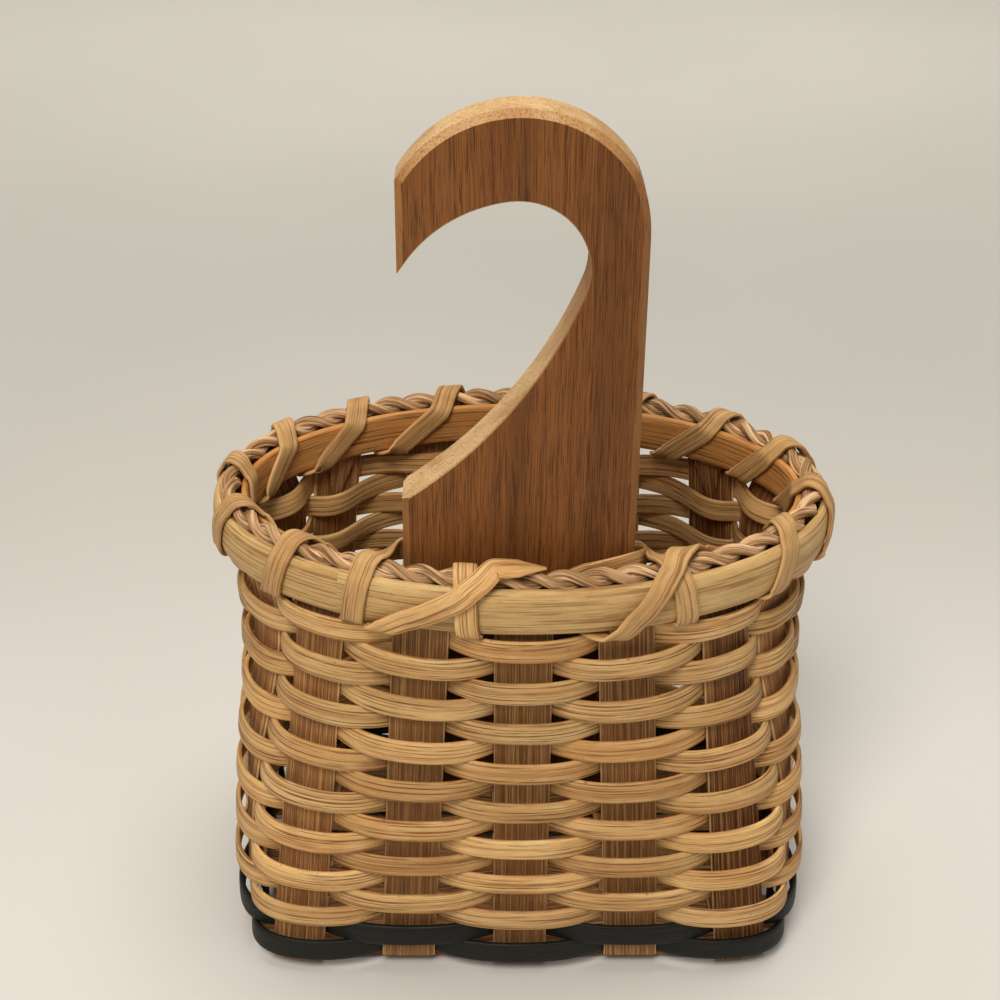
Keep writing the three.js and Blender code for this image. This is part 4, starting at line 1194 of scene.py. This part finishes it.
def board_point(sideways, deep, height, lift=0.0, facing=1, x=hook_left, width=LASHING_WIDTH):
    """A point of a strap on edge against the back or the front of the board, at its right or left edge or
    at an x between them."""
    off = LASHING_GAP + LASHING_THICKNESS / 2 + lift
    edge_x = hook_right + off if sideways > 0 else hook_left - off
    y = hook_back + off if deep > 0 else hook_front - off
    position = np.array([x if sideways == 0 else edge_x, y, height])
    return lash_point(position, np.array([sideways, deep, 0.0]) * facing, width)


def outer_diagonal(foot, over_top):
    """Up the outer band and over its top, on top of the strips that it crosses there."""
    points = [corner_point(foot, 1, FOOT_LIFT)]
    for share in (0.25, 0.5, 0.75):
        lift = min(1, 2 * share) * crossing_lift
        points.append(face_point(mix(foot, over_top[0], share), 1, share, lift))
    points.append(corner_point(over_top[0], 2, crossing_lift))
    points.append(corner_point(over_top[1], 3, crossing_lift))
    return points


# Lashing at the hook: X of each strip where it crosses the rim, in the order that it is wound
RIGHT_DIAGONAL_UNDER = 21.5
RIGHT_DIAGONAL_FOOT = 25.5
RIGHT_DIAGONAL_OVER_TOP = [34.5, 39.5, 44.0, 50.0]
RIGHT_STRAP_OVER_TOP = [36.5, 38.3, 40.4, 42.4]
LEFT_DIAGONAL_OVER_TOP = [-15.5, -8.5, -2.0, 5.4]
INNER_FACE_RISE = [3.0, 11.0, 19.5]

# Lashing at the hook: steps along the rim from the slot that a strip enters or leaves
RIGHT_DIAGONAL_SLOT_STEP = 3.8
SECOND_SLOT_APPROACH = [8.0, 2.5]
LAST_SLOT_RISE = [1.0, 3.0, 4.2, 6.0]
RIGHT_END_STEP = 1.5
CUT_END_STEP = [-2.0, -1.6, -1.0, -0.6]
INNER_FACE_STEP = 2.5
LEFT_DIAGONAL_STEP = 3.3

# Lashing at the hook: shares of the face that a strip crosses, and how its foot and its tip are
INNER_FACE_SHARES = [0.7, 0.35]
CUT_TIP_SHARES = [0.3, 0.5]
CUT_TIP_WIDTH = LASHING_WIDTH / 5
FOOT_LIFT = 1.2

# Lashing at the hook: how the straps reach and round the board
STRAP_LIFT_FROM_LEFT = 25.0
LEFT_STRAP_DROP = 8.5
RIGHT_STRAP_DROP = 10.5
CORNER_STRAP_DROP = 2.1
CORNER_STRAP_WIDTH = 4.4
LOW_STRAP_DROP = 0.5


def rim_lashing_path():
    """The long strip: right diagonal of the hook, once round the basket, behind the board and down."""
    middle, second = slot(2), slot(LAST_CROSS)
    start = (middle[0] + RIGHT_DIAGONAL_SLOT_STEP, middle[1])
    last, end = slot(UPRIGHTS, 0, 2), slot(3)
    path = [corner_point(start[0], 6), *enter_slot(*start)]
    path.append(corner_point(rim_wall.near(RIGHT_DIAGONAL_UNDER), 0, FOOT_LIFT, start[1]))

    foot = rim_wall.near(RIGHT_DIAGONAL_FOOT)
    over_top = [rim_wall.near(x) for x in RIGHT_DIAGONAL_OVER_TOP]
    path += outer_diagonal(foot, over_top)
    path += [corner_point(over_top[2], 4, crossing_lift / 2), corner_point(over_top[3], 5)]
    path.append(face_point(second[0] - SECOND_SLOT_APPROACH[0], 5, 0.5))
    path.append(corner_point(second[0] - SECOND_SLOT_APPROACH[1], 6))
    path += enter_slot(*second)

    for g in range(LAST_CROSS, UPRIGHTS - 1):
        path += plain_loop(slot(g), slot(g + 1))
    path += [*plain_loop(slot(UPRIGHTS - 1), last), corner_point(last[0], 0, 0, last[1])]
    path += [corner_point(last[0] + step, i + 1) for i, step in enumerate(LAST_SLOT_RISE)]

    left_height = strap_height - LEFT_STRAP_DROP
    right_height = strap_height - RIGHT_STRAP_DROP
    path.append(board_point(-1, 1, left_height))
    path.append(board_point(0, 1, left_height, crossing_lift, x=hook_left + STRAP_LIFT_FROM_LEFT))
    path.append(board_point(1, 1, right_height, crossing_lift))
    path += [corner_point(rim_wall.near(x), 4 - i) for i, x in enumerate(RIGHT_STRAP_OVER_TOP)]
    return [*path, *enter_slot_from_outside(*end), corner_point(end[0] + RIGHT_END_STEP, 6)]


def hook_lashing_path():
    """The short strip: down the left of the hook, round the board and back as the left diagonal."""
    middle, left = slot(1), slot(0, 1, 2)
    path = [corner_point(middle[0] + step, 4 - i) for i, step in enumerate(CUT_END_STEP)]
    path += [*enter_slot_from_outside(*middle), corner_point(middle[0] + INNER_FACE_STEP, 6, GAP)]
    rise = [rim_wall.near(x) for x in INNER_FACE_RISE]
    path += [face_point(x, 5, share, GAP) for x, share in zip(rise, INNER_FACE_SHARES)]
    path.append(corner_point(rise[2], 5, GAP))

    path.append(board_point(1, -1, strap_height - CORNER_STRAP_DROP, facing=-1, width=CORNER_STRAP_WIDTH))
    path.append(board_point(1, 1, strap_height - RIGHT_STRAP_DROP, facing=-1))
    path.append(board_point(-1, 1, inner_band_bottom - LOW_STRAP_DROP, facing=-1))
    path += enter_slot(*left)

    foot = left[0] + LEFT_DIAGONAL_STEP
    over_top = [rim_wall.near(x) for x in LEFT_DIAGONAL_OVER_TOP]
    path += [corner_point(left[0], 0, FOOT_LIFT, left[1]), *outer_diagonal(foot, over_top)]
    path.append(face_point(over_top[2], 3, CUT_TIP_SHARES[0], crossing_lift / 2))
    path.append(face_point(over_top[3], 3, CUT_TIP_SHARES[1], GAP, CUT_TIP_WIDTH))
    return path


def between_knots(first, last, start, end, t):
    """The point at t on a line that is at first where t is start, and at last where t is end."""
    return (end - t) / (end - start) * first + (t - start) / (end - start) * last


def curve_through(points, step):
    """Even points on a smooth curve through all the given ones, and how far along each of them is."""
    spread = np.concatenate([2 * points[:1] - points[1:2], points, 2 * points[-1:] - points[-2:-1]])
    knots = np.concatenate([[0.0], np.cumsum(np.linalg.norm(np.diff(spread, axis=0), axis=1) ** 0.5)])
    found, shares = [points[:1]], [np.zeros(1)]
    for i in range(len(points) - 1):
        p, k = spread[i : i + 4], knots[i : i + 4]
        count = max(2, int(np.ceil(np.linalg.norm(p[2] - p[1]) / step)))
        t = mix(k[1], k[2], np.arange(1, count + 1) / count)[:, None]
        a = [between_knots(p[j], p[j + 1], k[j], k[j + 1], t) for j in range(3)]
        b = [between_knots(a[j], a[j + 1], k[j], k[j + 2], t) for j in range(2)]
        found.append(between_knots(*b, k[1], k[2], t))
        shares.append(i + np.arange(1, count + 1) / count)
    return np.concatenate(found), np.concatenate(shares)


def lashing(name, path, material, stretch):
    """A reed along a path of lash points, which faces and narrows as they do."""
    path = with_easy_turns(filled_in(path))
    keys = ("position", "normal", "width")
    positions, normals, widths = (np.array([point[key] for point in path]) for key in keys)
    points, shares = curve_through(positions, LASHING_STEP)
    index = np.arange(len(path))
    facings = np.stack([np.interp(shares, index, normals[:, axis]) for axis in range(3)], -1)
    facings = square_to(unit(facings), points)
    reach = np.interp(shares, index, widths) / LASHING_WIDTH
    return reed(name, points, facings, reach, lashing_section, material, stretch)


# Hook: a flat board, drawn as an outline in X and Z
SHOULDER_STEPS = 8
CROWN_STEPS = 40
THROAT_STEPS = 48


def circle_through(first, first_distance, second, second_distance, side):
    """The point at given distances from two others, on the side asked for."""
    between = second - first
    span = np.linalg.norm(between)
    along = (first_distance**2 - second_distance**2 + span**2) / (2 * span)
    aside = side * math.sqrt(first_distance**2 - along**2)
    direction = between / span
    return first + direction * along + np.array([-direction[1], direction[0]]) * aside


def arc(centre, radius, start, end, count):
    angle = np.linspace(start, end, count)
    return centre + radius * np.stack([np.cos(angle), np.sin(angle)], -1)


def angle_from(centre, point):
    return math.atan2(point[1] - centre[1], point[0] - centre[0])


def crown_radius(reach, drop):
    return (reach**2 + drop**2) / (2 * drop)


def meets_upright(centre, radius, x, below):
    """Where a circle meets an upright line, above or below its own middle."""
    rise = math.sqrt(radius**2 - (x - centre[0]) ** 2)
    return np.array([x, centre[1] - rise if below else centre[1] + rise])


def rounded_corner(start, corner, end):
    share = np.linspace(0, 1, SHOULDER_STEPS)[:, None]
    return mix(mix(start, corner, share), mix(corner, end, share), share)


def hook_outline(edge_inset, sawn_inset):
    """The board's outline with its planed edges and its sawn throat drawn in by a little."""
    left, right = hook_left + edge_inset, hook_right - edge_inset
    right_radius = crown_radius(hook_right - CROWN_CENTRE, RIGHT_SHOULDER_DROP)
    left_radius = crown_radius(CROWN_CENTRE - hook_left, LEFT_SHOULDER_DROP)
    right_centre = np.array([CROWN_CENTRE, HOOK_TOP - right_radius])
    left_centre = np.array([CROWN_CENTRE, HOOK_TOP - left_radius])
    right_shoulder = meets_upright(right_centre, right_radius - edge_inset, right, False)
    left_shoulder = meets_upright(left_centre, left_radius - edge_inset, left, False)

    throat = np.array([THROAT_CENTRE, HOOK_TOP - THROAT_DROP - THROAT_RADIUS])
    heel = np.array([hook_left, HOOK_TOP - HEEL_DROP])
    nose_tip = np.array([hook_left, HOOK_TOP - NOSE_DROP])
    nose = circle_through(throat, NOSE_RADIUS - THROAT_RADIUS, nose_tip, NOSE_RADIUS, 1)
    heel_centre = circle_through(throat, HEEL_RADIUS - THROAT_RADIUS, heel, HEEL_RADIUS, -1)
    nose_start = angle_from(nose, meets_upright(nose, NOSE_RADIUS + sawn_inset, left, False))
    nose_end = angle_from(nose, throat)
    heel_start = angle_from(heel_centre, throat)
    heel_end = angle_from(heel_centre, meets_upright(heel_centre, HEEL_RADIUS + sawn_inset, left, True))
    turn = RIGHT_SHOULDER_ROUNDING / right_radius
    crown_start = angle_from(right_centre, right_shoulder) + turn
    crown_end = angle_from(left_centre, left_shoulder)
    right_crown = arc(right_centre, right_radius - edge_inset, crown_start, math.pi / 2, CROWN_STEPS)
    left_crown = arc(left_centre, left_radius - edge_inset, math.pi / 2, crown_end, CROWN_STEPS)
    below_shoulder = right_shoulder - np.array([0.0, RIGHT_SHOULDER_ROUNDING])
    parts = [
        np.array([[left, hook_bottom + edge_inset], [right, hook_bottom + edge_inset]]),
        rounded_corner(below_shoulder, right_shoulder, right_crown[0]),
        right_crown[1:],
        left_crown[1:],
        arc(nose, NOSE_RADIUS + sawn_inset, nose_start, nose_end, CROWN_STEPS),
        arc(throat, THROAT_RADIUS + sawn_inset, nose_end, heel_start, THROAT_STEPS)[1:],
        arc(heel_centre, HEEL_RADIUS + sawn_inset, heel_start, heel_end, THROAT_STEPS)[1:],
    ]
    return np.concatenate(parts)


def oak_hook(material):
    """The board: bevelled along its planed edges, with the edges of the sawn throat just broken."""
    chamfer, sawn = HOOK_CHAMFER, HOOK_SAWN_EDGE
    levels = [
        (hook_front, chamfer, sawn),
        (hook_front + sawn, chamfer - sawn, 0.0),
        (hook_front + chamfer, 0.0, 0.0),
        (hook_back - chamfer, 0.0, 0.0),
        (hook_back - sawn, chamfer - sawn, 0.0),
        (hook_back, chamfer, sawn),
    ]
    points = []
    for y, edge_inset, sawn_inset in levels:
        outline = hook_outline(edge_inset, sawn_inset)
        points.append(np.stack([outline[:, 0], np.full(len(outline), y), outline[:, 1]], -1))
    faces = faces_between_rings(len(levels), len(points[0]), is_turned=True)
    piece = mesh_object("oak_board", np.concatenate(points), faces)
    piece.data.set_sharp_from_angle(angle=HOOK_SHARP_EDGE)
    piece.data.materials.append(material)
    return piece


# Finishes. Colours are written as they look, from 0 to 255, and the shader takes them as light.
SEAGRASS_BLADES = [(222, 183, 138), (164, 125, 84)]
SEAGRASS_CREASE = (88, 56, 32)
SEAGRASS_RIDGE = (228, 200, 164)
OAK_FACE = [(131, 81, 37), (108, 64, 27)]
OAK_DARK_STREAK = (84, 49, 20)
OAK_PALE_STREAK = (152, 100, 49)
OAK_PORE = (62, 34, 12)
OAK_PLANED_EDGE = (188, 136, 78)
OAK_END_GRAIN = [(216, 180, 128), (192, 150, 98)]
OAK_END_SPECKLE = (140, 92, 48)
OAK_RAY = (236, 208, 160)
# Painted shade for the slanted bevels between the board's faces and its sawn ends
OAK_BEVEL_PAINTED_SHADE = (158, 106, 56)
PAPER_FLOOR = [(214, 212, 208), (208, 206, 201)]
PAPER_BEHIND = [(201, 199, 193), (196, 194, 188)]
PAPER_FAR_BACK = [(240, 238, 230), (235, 233, 225)]

# How wide the soft start of a stake's paler edge is, in millimetres
CUT_EDGE_SOFTNESS = 0.35

# Where the paper turns darker behind the basket and paler again, in metres from the basket's middle
PAPER_DARKENS = (0.05, 0.25)
PAPER_PALES = (0.42, 1.0)


def light_of(colour):
    shares = np.array(colour) / 255
    light = np.where(shares <= 0.04045, shares / 12.92, ((shares + 0.055) / 1.055) ** 2.4)
    return (*light.tolist(), 1.0)


class Finish(Nodes):
    """A material with short ways to add patterns and to mix colours."""

    def __init__(self, name, roughness, specular=0.35):
        self.material = bpy.data.materials.new(name)
        self.material.use_nodes = True
        super().__init__(self.material.node_tree)
        self.shader = self.tree.nodes["Principled BSDF"]
        self.shader.inputs["Roughness"].default_value = roughness
        self.shader.inputs["Specular IOR Level"].default_value = specular

    def noise(self, vector, detail):
        return self.made("ShaderNodeTexNoise", {"Vector": vector, "Scale": 1.0, "Detail": detail})

    def between(self, value, low, high, first=0.0, last=1.0):
        """Follows a value from low to high smoothly, and gives from first to last."""
        limits = {"Value": value, "From Min": low, "From Max": high, "To Min": first, "To Max": last}
        return self.made("ShaderNodeMapRange", limits, interpolation_type="SMOOTHSTEP")

    def blend(self, share, first, last):
        """Goes from the first colour to the last one. Each is a socket or a colour as it looks."""
        inputs = {0: share}
        for index, colour in ((6, first), (7, last)):
            inputs[index] = colour if isinstance(colour, bpy.types.NodeSocket) else light_of(colour)
        return self.node("ShaderNodeMix", inputs, data_type="RGBA").outputs[2]

    def shaded(self, colour, value):
        """A colour made lighter or darker by a value about 1."""
        return self.made("ShaderNodeHueSaturation", {"Color": colour, "Value": value})

    def done(self, colour, height, depth, strength=1.0):
        """Joins the colour and the relief to the shader."""
        bump = {"Height": height, "Distance": depth * MM, "Strength": strength}
        relief = self.made("ShaderNodeBump", bump)
        self.tree.links.new(colour, self.shader.inputs["Base Color"])
        self.tree.links.new(relief, self.shader.inputs["Normal"])
        return self.material

    def on_reed(self):
        """The place along the reed and across it, as the UVs hold them."""
        return self.parts(self.made("ShaderNodeUVMap", uv_map="UVMap"))

    def on_object(self, output):
        """The place on the object, or the direction that its surface faces there."""
        return self.node("ShaderNodeTexCoord").outputs[output]


def reed_finish(name, tones, line, line_share, line_width, streak, streak_share, roughness, cut_edge=None):
    """Reed split lengthwise: its tone drifts, and fibre lines and finer streaks run along it. A cut edge
    is paler, beyond a distance from the middle."""
    f = Finish(name, roughness, 0.25)
    along, across = (f.over(f.on_reed()[axis], MM) for axis in ("X", "Y"))
    room = PATTERN_ROOM / MM

    def marks(length, width, level, detail):
        """A pattern whose marks are about this long and this wide, in millimetres."""
        return f.noise(f.place(f.over(along, length), f.over(across, width), level), detail)

    drift = marks(55.0, 40.0, 0.0, 2.0)
    patch = marks(14.0, 5.0, 3.0, 3.0)
    colour = f.blend(f.between(drift, 0.32, 0.68), tones[0], tones[1])
    colour = f.blend(f.between(patch, 0.45, 0.75, 0.0, 0.5), colour, tones[2])

    bands = marks(60.0, line_width, 7.0, 2.0)
    lines = marks(45.0, line_width / 2.6, 11.0, 3.0)
    broken = marks(9.0, line_width, 13.0, 1.0)
    line_strength = f.times(f.between(lines, 0.52, 0.61), f.between(broken, 0.3, 0.55, 0.4, 1.0))
    colour = f.blend(f.between(bands, 0.46, 0.62, 0.0, streak_share), colour, streak)
    colour = f.blend(f.times(line_strength, line_share), colour, line)

    fibres = marks(5.0, 0.16, 17.0, 2.0)
    colour = f.shaded(colour, f.between(fibres, 0.25, 0.75, 0.8, 1.18))
    number = f.math("ROUND", f.over(across, room))
    own_tone = f.noise(f.place(number, 0.37), 0.0)
    own_warmth = f.noise(f.place(number, 8.13), 0.0)
    colour = f.shaded(colour, f.between(own_tone, 0.3, 0.7, 0.84, 1.12))
    colour = f.blend(f.between(own_warmth, 0.4, 0.7, 0.0, 0.4), colour, streak)
    if cut_edge is not None:
        start, tone = cut_edge
        turns = f.math("FRACT", f.plus(f.over(across, room), 0.5))
        from_middle = f.math("ABSOLUTE", f.times(f.minus(turns, 0.5), room))
        colour = f.blend(f.between(from_middle, start, start + CUT_EDGE_SOFTNESS, 0.0, 0.8), colour, tone)
    specks = marks(1.6, 0.5, 19.0, 1.0)
    colour = f.blend(f.between(specks, 0.71, 0.76, 0.0, 0.55), colour, line)

    height = f.minus(f.plus(fibres, f.times(bands, 0.8)), line_strength)
    gloss = f.between(bands, 0.3, 0.7, roughness - 0.08, roughness + 0.1)
    f.tree.links.new(gloss, f.shader.inputs["Roughness"])
    return f.done(colour, height, 0.12, 0.9)


def seagrass_finish():
    """Dried grass: each blade has a tone between straw and brown, with dark creases and pale ridges."""
    f = Finish("twisted seagrass", 0.7, 0.2)
    along, across = f.over(f.on_reed()["X"], MM), f.on_reed()["Y"]
    blade = f.noise(f.place(f.over(along, 45.0), f.times(across, 1.9), 5.0), 1.0)
    streaks = f.noise(f.place(f.over(along, 9.0), f.times(across, 3600.0)), 3.0)
    colour = f.blend(f.between(blade, 0.4, 0.6), *SEAGRASS_BLADES)
    colour = f.blend(f.between(streaks, 0.48, 0.68, 0.0, 0.85), colour, SEAGRASS_CREASE)
    colour = f.blend(f.between(streaks, 0.25, 0.42, 0.6, 0.0), colour, SEAGRASS_RIDGE)
    return f.done(colour, streaks, 0.3)


def oak_finish():
    """Oiled oak cut along the grain: streaks up the board, dark pores, paler sawn end grain, and painted
    shade on the bevels.
    """
    f = Finish("oiled oak", 0.55, 0.25)
    place = f.parts(f.on_object("Object"))
    x, y, z = (f.over(place[axis], MM) for axis in ("X", "Y", "Z"))
    bow = f.noise(f.place(f.over(x, 60.0), f.over(y, 60.0), f.over(z, 160.0)), 1.0)
    ring = f.plus(f.plus(x, f.times(y, 0.45)), f.times(bow, 5.0))

    def grain(width, depth, length, detail, level):
        """A pattern whose marks are about this wide, this deep and this long, in millimetres."""
        spot = f.place(f.over(ring, width), f.over(y, depth), f.over(z, length))
        return f.noise(f.vector("ADD", spot, (level, level, level)), detail)

    broad = grain(9.0, 14.0, 340.0, 2.0, 0.0)
    streaks = grain(0.6, 3.0, 130.0, 3.0, 31.0)
    pores = grain(0.17, 0.4, 12.0, 2.0, 57.0)
    colour = f.blend(f.between(broad, 0.3, 0.7), *OAK_FACE)
    colour = f.blend(f.between(streaks, 0.5, 0.72, 0.0, 0.5), colour, OAK_DARK_STREAK)
    colour = f.blend(f.between(streaks, 0.28, 0.45, 0.35, 0.0), colour, OAK_PALE_STREAK)
    colour = f.blend(f.between(pores, 0.56, 0.68, 0.0, 0.6), colour, OAK_PORE)

    facing = f.parts(f.on_object("Normal"))
    is_edge = f.between(f.math("ABSOLUTE", facing["Y"]), 0.95, 0.8)
    colour = f.blend(f.times(is_edge, 0.35), colour, OAK_PLANED_EDGE)
    is_end_grain = f.between(f.math("ABSOLUTE", facing["Z"]), 0.25, 0.6)
    rays = f.noise(f.place(f.over(x, 9.0), f.over(y, 0.5), f.over(z, 9.0)), 2.0)
    speckle = grain(0.55, 0.6, 2.2, 2.0, 83.0)
    sawn = f.blend(f.between(broad, 0.35, 0.65), *OAK_END_GRAIN)
    sawn = f.blend(f.between(speckle, 0.5, 0.72, 0.0, 0.7), sawn, OAK_END_SPECKLE)
    sawn = f.blend(f.between(rays, 0.6, 0.7, 0.0, 0.6), sawn, OAK_RAY)
    # Painted shade: the bevels between the faces and the sawn ends are made darker, as if less light fell
    # on them
    bevel_painted_shade = f.between(f.math("ABSOLUTE", facing["Y"]), 0.3, 0.6, 0.0, 0.5)
    sawn = f.blend(bevel_painted_shade, sawn, OAK_BEVEL_PAINTED_SHADE)
    colour = f.blend(is_end_grain, colour, sawn)
    height = f.minus(streaks, f.between(pores, 0.56, 0.68, 0.0, 1.4))
    return f.done(colour, height, 0.1)


weaver_reed = reed_finish(
    "golden weaver reed",
    [(223, 183, 122), (204, 159, 98), (233, 199, 139)],
    line=(116, 68, 30),
    line_share=0.85,
    line_width=1.5,
    streak=(160, 106, 58),
    streak_share=0.5,
    roughness=0.55,
)
stake_reed = reed_finish(
    "brown stake reed",
    [(138, 82, 38), (104, 57, 24), (158, 102, 52)],
    line=(42, 18, 6),
    line_share=1.0,
    line_width=0.6,
    streak=(206, 156, 98),
    streak_share=0.65,
    roughness=0.62,
    cut_edge=(7.5, (222, 184, 130)),
)
dyed_reed = reed_finish(
    "dark green dyed reed",
    [(14, 14, 10), (9, 10, 7), (21, 21, 15)],
    line=(8, 8, 6),
    line_share=0.9,
    line_width=1.2,
    streak=(34, 35, 25),
    streak_share=0.5,
    roughness=0.5,
)
band_reed = reed_finish(
    "straw coloured band reed",
    [(229, 195, 132), (215, 178, 115), (237, 207, 148)],
    line=(126, 80, 40),
    line_share=0.65,
    line_width=2.2,
    streak=(172, 126, 76),
    streak_share=0.45,
    roughness=0.5,
)
lashing_reed = reed_finish(
    "pale lashing reed",
    [(213, 173, 114), (197, 153, 95), (224, 189, 132)],
    line=(128, 78, 38),
    line_share=0.85,
    line_width=1.3,
    streak=(178, 130, 80),
    streak_share=0.45,
    roughness=0.5,
)
seagrass_blades = seagrass_finish()
# The inside of the rim: a darker, more orange copy of the pale band reed, as painted shade and painted warm
# light bounced from the reeds around it
inner_band_shaded_reed = reed_finish(
    "brown inner band reed",
    [(208, 152, 86), (184, 126, 66), (216, 164, 96)],
    line=(106, 60, 24),
    line_share=0.85,
    line_width=2.0,
    streak=(160, 104, 54),
    streak_share=0.5,
    roughness=0.5,
)
oiled_oak = oak_finish()


# The basket, piece by piece. Each stands for the solid that it replaces.
def stand_for(piece, node):
    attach(piece, "root")
    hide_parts(node)


def strips(name, node, count, rows_of, stretch):
    """The strips of one kind, numbered from 1. Each is made from the rows of points along it."""
    for i in range(count):
        piece = strip_piece("%s_%d" % (name, i + 1), rows_of(i), stake_reed, stretch + i)
        stand_for(piece, "%s_%d" % (node, i + 1))


strips("cross_reed", "cross_stake", CROSS_STAKES, cross_stake_rows, CROSS_STAKE_STRETCH)
strips("long_reed", "long_stake", LONG_STAKES, long_stake_rows, LONG_STAKE_STRETCH)
strips("filler_reed", "base_filler", LONG_STAKES + 1, filler_rows, FILLER_STRETCH)
for row in range(1, ROWS + 1):
    if row <= DYED_ROWS:
        stand_for(weaver(row, dyed_reed), "dyed_weaver_%d" % row)
    else:
        stand_for(weaver(row, weaver_reed), "weaver_%02d" % row)
stand_for(rim_row(weaver_reed), "rim_row")
stand_for(outer_band(band_reed), "outer_rim_band")
stand_for(inner_band(inner_band_shaded_reed), "inner_rim_band")
stand_for(seagrass_rope(seagrass_blades), "seagrass_filler")
rim_wrap = lashing("rim_wrap", rim_lashing_path(), lashing_reed, RIM_LASHING_STRETCH)
hook_wrap = lashing("hook_wrap", hook_lashing_path(), lashing_reed, HOOK_LASHING_STRETCH)
stand_for(rim_wrap, "rim_lashing")
stand_for(hook_wrap, "hook_lashing")
stand_for(oak_hook(oiled_oak), "oak_hook")


def loose_fibres(reed_name, count, seed, material, maker):
    """Fibres grown on a copy of a finished reed."""
    source = placed("fibre_source", bpy.data.objects[reed_name].data.copy())
    values = {
        "Count per square metre": float(count),
        "Length": FIBRE_LENGTH * MM,
        "Radius": FIBRE_RADIUS * MM,
        "Seed": seed,
        "Material": material,
    }
    return grown(source, maker, reed_name + "_fibres", values)


fibre_maker = fibre_tree()
for seed, (reed_name, count) in enumerate(FIBRES_ON.items()):
    piece = loose_fibres(reed_name, count, seed, lashing_reed, fibre_maker)
    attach(piece, "root")


# Floor that runs up into a backdrop, in one sweep
FLOOR_HALF_WIDTH = 3000.0
FLOOR_FRONT = -3000.0
SWEEP_START = 1250.0
SWEEP_RADIUS = 400.0
SWEEP_STEPS = 23
BACKDROP_TOP = 3000.0


def sweep(material):
    section = [(FLOOR_FRONT, 0.0), (SWEEP_START, 0.0)]
    for angle in np.linspace(0, math.pi / 2, SWEEP_STEPS + 1)[1:]:
        y = SWEEP_START + SWEEP_RADIUS * math.sin(angle)
        section.append((y, SWEEP_RADIUS * (1 - math.cos(angle))))
    section.append((SWEEP_START + SWEEP_RADIUS, BACKDROP_TOP))
    points = [(x, y, z) for y, z in section for x in (-FLOOR_HALF_WIDTH, FLOOR_HALF_WIDTH)]
    faces = [(2 * i, 2 * i + 1, 2 * i + 3, 2 * i + 2) for i in range(len(section) - 1)]
    piece = mesh_object("floor_and_backdrop", points, faces)
    piece.data.materials.append(material)


def paper_finish():
    """Pale paper, a little darker behind the basket and paler again far back, where less light falls."""
    f = Finish("pale paper", 0.9, 0.1)
    place = f.on_object("Object")
    tone = f.noise(f.scaled(place, 3.0), 2.0)
    deep = f.parts(place)["Y"]
    tones = (PAPER_FLOOR, PAPER_BEHIND, PAPER_FAR_BACK)
    floor, behind, far_back = (f.blend(f.between(tone, 0.3, 0.7), *pair) for pair in tones)
    colour = f.blend(f.between(deep, *PAPER_DARKENS), floor, behind)
    return f.done(f.blend(f.between(deep, *PAPER_PALES), colour, far_back), tone, 0.01)


sweep(paper_finish())


# Light: a broad soft lamp overhead, one from the front above, and pale surroundings that look a little
# brighter than they shine. Places and sizes are in metres, and powers in watts.
LAMP_TARGET = (0.0, 0.0, 0.1)
OVERHEAD = {"place": (0.1, 0.1, 1.5), "size": 0.8, "power": 8.5, "colour": (255, 250, 243)}
FRONT = {"place": (-0.3, -0.85, 1.35), "size": 0.6, "power": 16.0, "colour": (255, 247, 238)}
ROOM_COLOUR = (250, 247, 242)
ROOM_LIGHT = 0.38
ROOM_SEEN_BRIGHTER = 0.25


def look_along(direction):
    flat = math.hypot(direction[0], direction[1])
    return (math.atan2(flat, -direction[2]), 0.0, math.atan2(direction[1], direction[0]) - math.pi / 2)


def lamp(name, place, size, power, colour):
    light = bpy.data.lights.new(name, "AREA")
    light.shape = "DISK"
    light.size = size
    light.energy = power
    light.color = light_of(colour)[:3]
    holder = placed(name, light)
    holder.location = place
    holder.rotation_euler = look_along(np.array(LAMP_TARGET) - np.array(place))


def set_room():
    world = bpy.data.worlds.new("pale room")
    world.use_nodes = True
    room = Nodes(world.node_tree)
    background = room.tree.nodes["Background"]
    background.inputs["Color"].default_value = light_of(ROOM_COLOUR)
    is_seen = room.node("ShaderNodeLightPath").outputs["Is Camera Ray"]
    strength = room.plus(room.times(is_seen, ROOM_SEEN_BRIGHTER), ROOM_LIGHT)
    room.tree.links.new(strength, background.inputs["Strength"])
    bpy.context.scene.world = world


lamp("overhead", **OVERHEAD)
lamp("front", **FRONT)
set_room()
bpy.context.scene.view_settings.view_transform = "Standard"


# Camera, where the photograph was taken from. Its place is in metres and its angles are in radians.
CAMERA_PLACE = (-0.01155, -0.44588, 0.40081)
CAMERA_PITCH = 0.5334
CAMERA_YAW = 0.0116
CAMERA_ROLL = 0.0072
FOCAL_LENGTH = 63.72
SENSOR_WIDTH = 36.0


def set_camera():
    data = bpy.data.cameras.new("camera")
    data.lens = FOCAL_LENGTH
    data.sensor_width = SENSOR_WIDTH
    data.clip_start = 0.01
    holder = placed("camera", data)
    holder.location = CAMERA_PLACE
    turn = Euler((math.pi / 2 - CAMERA_PITCH, 0.0, -CAMERA_YAW)).to_matrix()
    roll = Euler((0.0, 0.0, CAMERA_ROLL)).to_matrix()
    holder.rotation_euler = (turn @ roll).to_euler()
    bpy.context.scene.camera = holder


set_camera()
